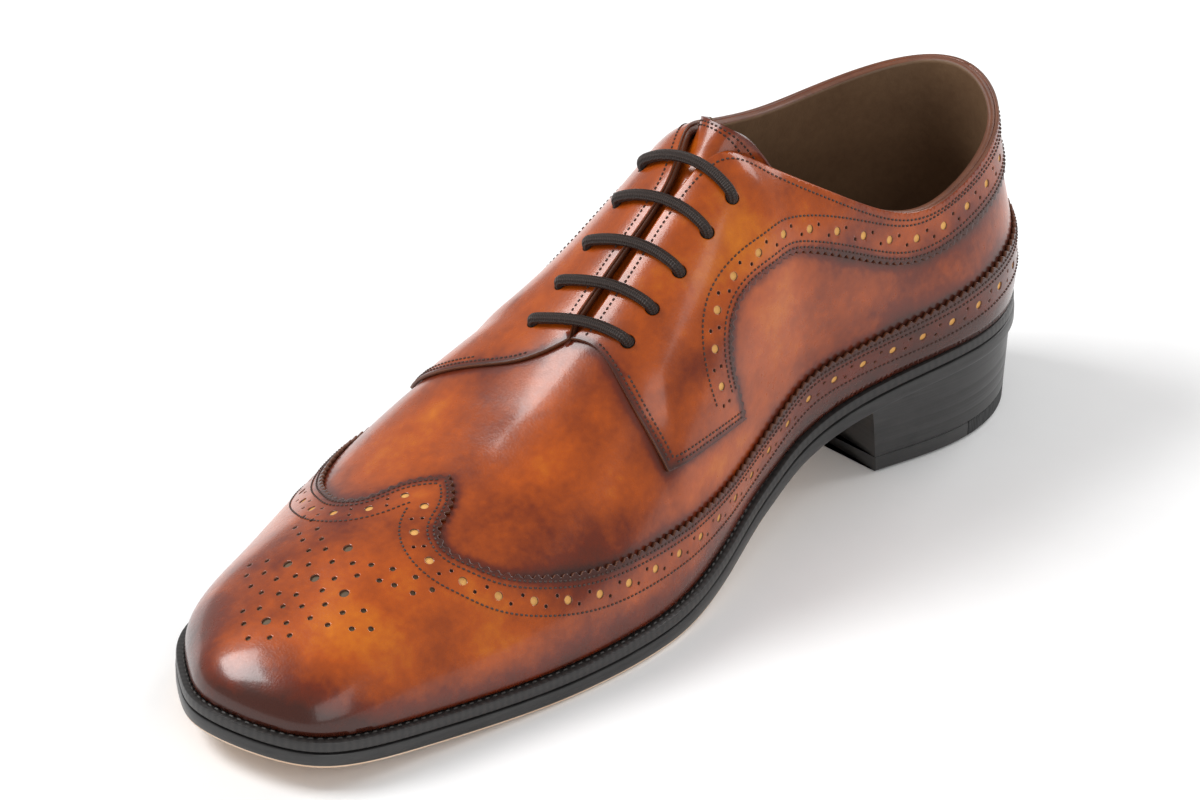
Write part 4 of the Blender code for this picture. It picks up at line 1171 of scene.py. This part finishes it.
def heelRing(height, under=False, pinch=0.0):
    # outline of the heel: the sole's edge moved in, closed by a hollowed breast
    share = height / shoe["heel"]
    by = heelLook["insetFloor"] + (heelLook["insetTop"] - heelLook["insetFloor"]) * share + pinch
    breast = heelLook["breast"] - heelLook["rake"] * (1 - share)
    sides = []
    for hand in (-1, 1):
        table = np.linspace(0.6, 1.0, 400) * hand
        corner = np.interp(-breast, -inset(table, np.full(400, by))[:, 1], table)
        spread = np.linspace(0, 1, heelLook["side"])
        sides.append(inset(corner + (hand - corner) * spread, np.full(heelLook["side"], by)))
    across = np.linspace(sides[0][0], sides[1][0], heelLook["front"] + 2)[1:-1]
    across[:, 1] -= heelLook["hollow"] * np.sin(np.linspace(0, np.pi, heelLook["front"] + 2))[1:-1]
    edge = np.vstack([sides[0][::-1], across, sides[1][:-1]])
    level = soleBottom(edge[:, 1]) - 0.05 if under else np.full(len(edge), height)
    return np.c_[edge, level]


def heelBlock(name, rings, finish, stand):
    # rings joined in turn; each end closed by rungs between the sides and one face along the breast
    count = len(rings[0])
    faces = gridFaces(len(rings), count, True).tolist()
    side = heelLook["side"] - 1
    for start in (0, (len(rings) - 1) * count):
        faces.append([start + i for i in (0, 1, count - 1)])
        faces += [[start + i, start + i + 1, start + count - i - 1, start + count - i]
                  for i in range(1, side)]
        faces.append([start + i for i in range(side, count - side + 1)])
    return makePiece(name, np.vstack(rings), faces, [finish], closed=True, stand=stand)


heights = [(heelLook["topPiece"], 0.25), (heelLook["topPiece"] + 0.3, 0.0)]
for height in heelLook["lifts"]:
    heights += [(height - 0.22, 0.0), (height, heelLook["line"]), (height + 0.22, 0.0)]
heelRings = [heelRing(height, False, pinch) for height, pinch in heights]
heelRings.append(heelRing(shoe["heel"] - 1.0))
topRing = heelRing(shoe["heel"], True)
for ring, under in zip(heelRings, [0.8] * (len(heelRings) - 1) + [0.6]):
    ring[:, 2] = np.minimum(ring[:, 2], topRing[:, 2] - under)
heelBlock("heelStack", heelRings + [topRing], edgeInk, ["heel_block"])
cutWay = Vector((heelLook["skew"], 70.0, 0.0)).normalized()
cutAt = Vector(toFrame((0.0, heelLook["split"], 0.0)).tolist())
for name, side, finish, node in (("heelRubberPiece", 1, rubber, "heel_rubber"),
                                 ("heelFrontPiece", -1, smoothBlack, "heel_front_lift")):
    low = heelLook["topPiece"] - 0.06
    rings = [heelRing(0.0, False, 0.5), heelRing(0.5), heelRing(low - 0.3), heelRing(low, False, 0.25)]
    part = heelBlock(name, rings, finish, [node])
    work = bmesh.new()
    work.from_mesh(part.data)
    cut = bmesh.ops.bisect_plane(work, geom=work.verts[:] + work.edges[:] + work.faces[:], dist=1e-7,
                                 plane_co=cutAt + cutWay * side * heelLook["parting"],
                                 plane_no=cutWay * side, clear_inner=True)
    rim = [item for item in cut["geom_cut"] if isinstance(item, bmesh.types.BMEdge)]
    bmesh.ops.edgeloop_fill(work, edges=rim)
    bmesh.ops.recalc_face_normals(work, faces=work.faces)
    work.to_mesh(part.data)
    work.free()
print("heel built")

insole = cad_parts["insole"]
insole.data.materials.clear()
insole.data.materials.append(footbed)

# floor, light and camera
stageLook = {"floor": 6.0, "key": 40.0, "fill": 12.0, "back": 22.0, "world": 0.45, "lens": 212.0}
floorMesh = bpy.data.meshes.new("studioFloor")
half = stageLook["floor"] / 2
drop = -0.0003  # just under the soles, so that no two faces share a plane
corners = [(-half, -half, drop), (half, -half, drop), (half, half, drop), (-half, half, drop)]
floorMesh.from_pydata(corners, [], [(0, 1, 2, 3)])
floor = bpy.data.objects.new("studioFloor", floorMesh)
bpy.context.collection.objects.link(floor)
paper = Finish("palePaper", (0.92, 0.92, 0.92), Roughness=0.85)
fibre = paper.noise(40.0, 3.0, 0.6)
paperTone = paper.colours(fibre, (0.0, (0.90, 0.90, 0.90)), (1.0, (0.94, 0.94, 0.94)))
floorMesh.materials.append(paper.dressed(paperTone))

bpy.context.scene.view_settings.view_transform = "Standard"
world = bpy.data.worlds.new("studio")
bpy.context.scene.world = world
world.use_nodes = True
sky = world.node_tree.nodes["Background"].inputs
sky["Color"].default_value = (1.0, 1.0, 1.0, 1.0)
sky["Strength"].default_value = stageLook["world"]


def areaLight(name, place, size, power):
    # a soft box turned to the middle of the shoe
    data = bpy.data.lights.new(name, "AREA")
    data.shape = "RECTANGLE"
    data.size, data.size_y = size
    data.energy = power
    lamp = bpy.data.objects.new(name, data)
    bpy.context.collection.objects.link(lamp)
    lamp.location = place
    lamp.rotation_euler = (Vector((0.0, 0.0, 0.05)) - Vector(place)).to_track_quat("-Z", "Y").to_euler()


areaLight("keyLight", (-1.2, -0.9, 1.7), (1.15, 0.95), stageLook["key"])
areaLight("fillLight", (1.8, -0.6, 0.9), (1.4, 1.4), stageLook["fill"])
areaLight("backLight", (0.2, 1.8, 1.3), (1.8, 0.8), stageLook["back"])

# camera stands where the photograph's stood, turned to this shoe alone
photoView = {"turn": 41.892, "rise": 30.627, "focal": 2846.0, "distance": 1945.6, "pixel": (460.09, 401.45),
             "middle": (600, 400), "target": (2.863, -0.252, 40.0), "aim": (0.004, -0.004, 0.048)}
turn, rise = math.radians(photoView["turn"]), math.radians(photoView["rise"])
right = np.array([math.cos(turn), math.sin(turn), 0.0])
back = np.array([math.sin(turn) * math.cos(rise), -math.cos(turn) * math.cos(rise), math.sin(rise)])
up = np.cross(back, right)
off = (np.array(photoView["pixel"]) - photoView["middle"]) * photoView["distance"] / photoView["focal"]
stand = photoView["target"] + back * photoView["distance"] - right * off[0] + up * off[1]
camera = bpy.data.objects.new("photoCamera", bpy.data.cameras.new("photoCamera"))
bpy.context.collection.objects.link(camera)
camera.data.lens = stageLook["lens"]
camera.data.sensor_width = 36.0
camera.data.clip_end = 50.0
camera.location = stand * 0.001
camera.rotation_euler = (Vector(photoView["aim"]) - camera.location).to_track_quat("-Z", "Y").to_euler()
bpy.context.scene.camera = camera
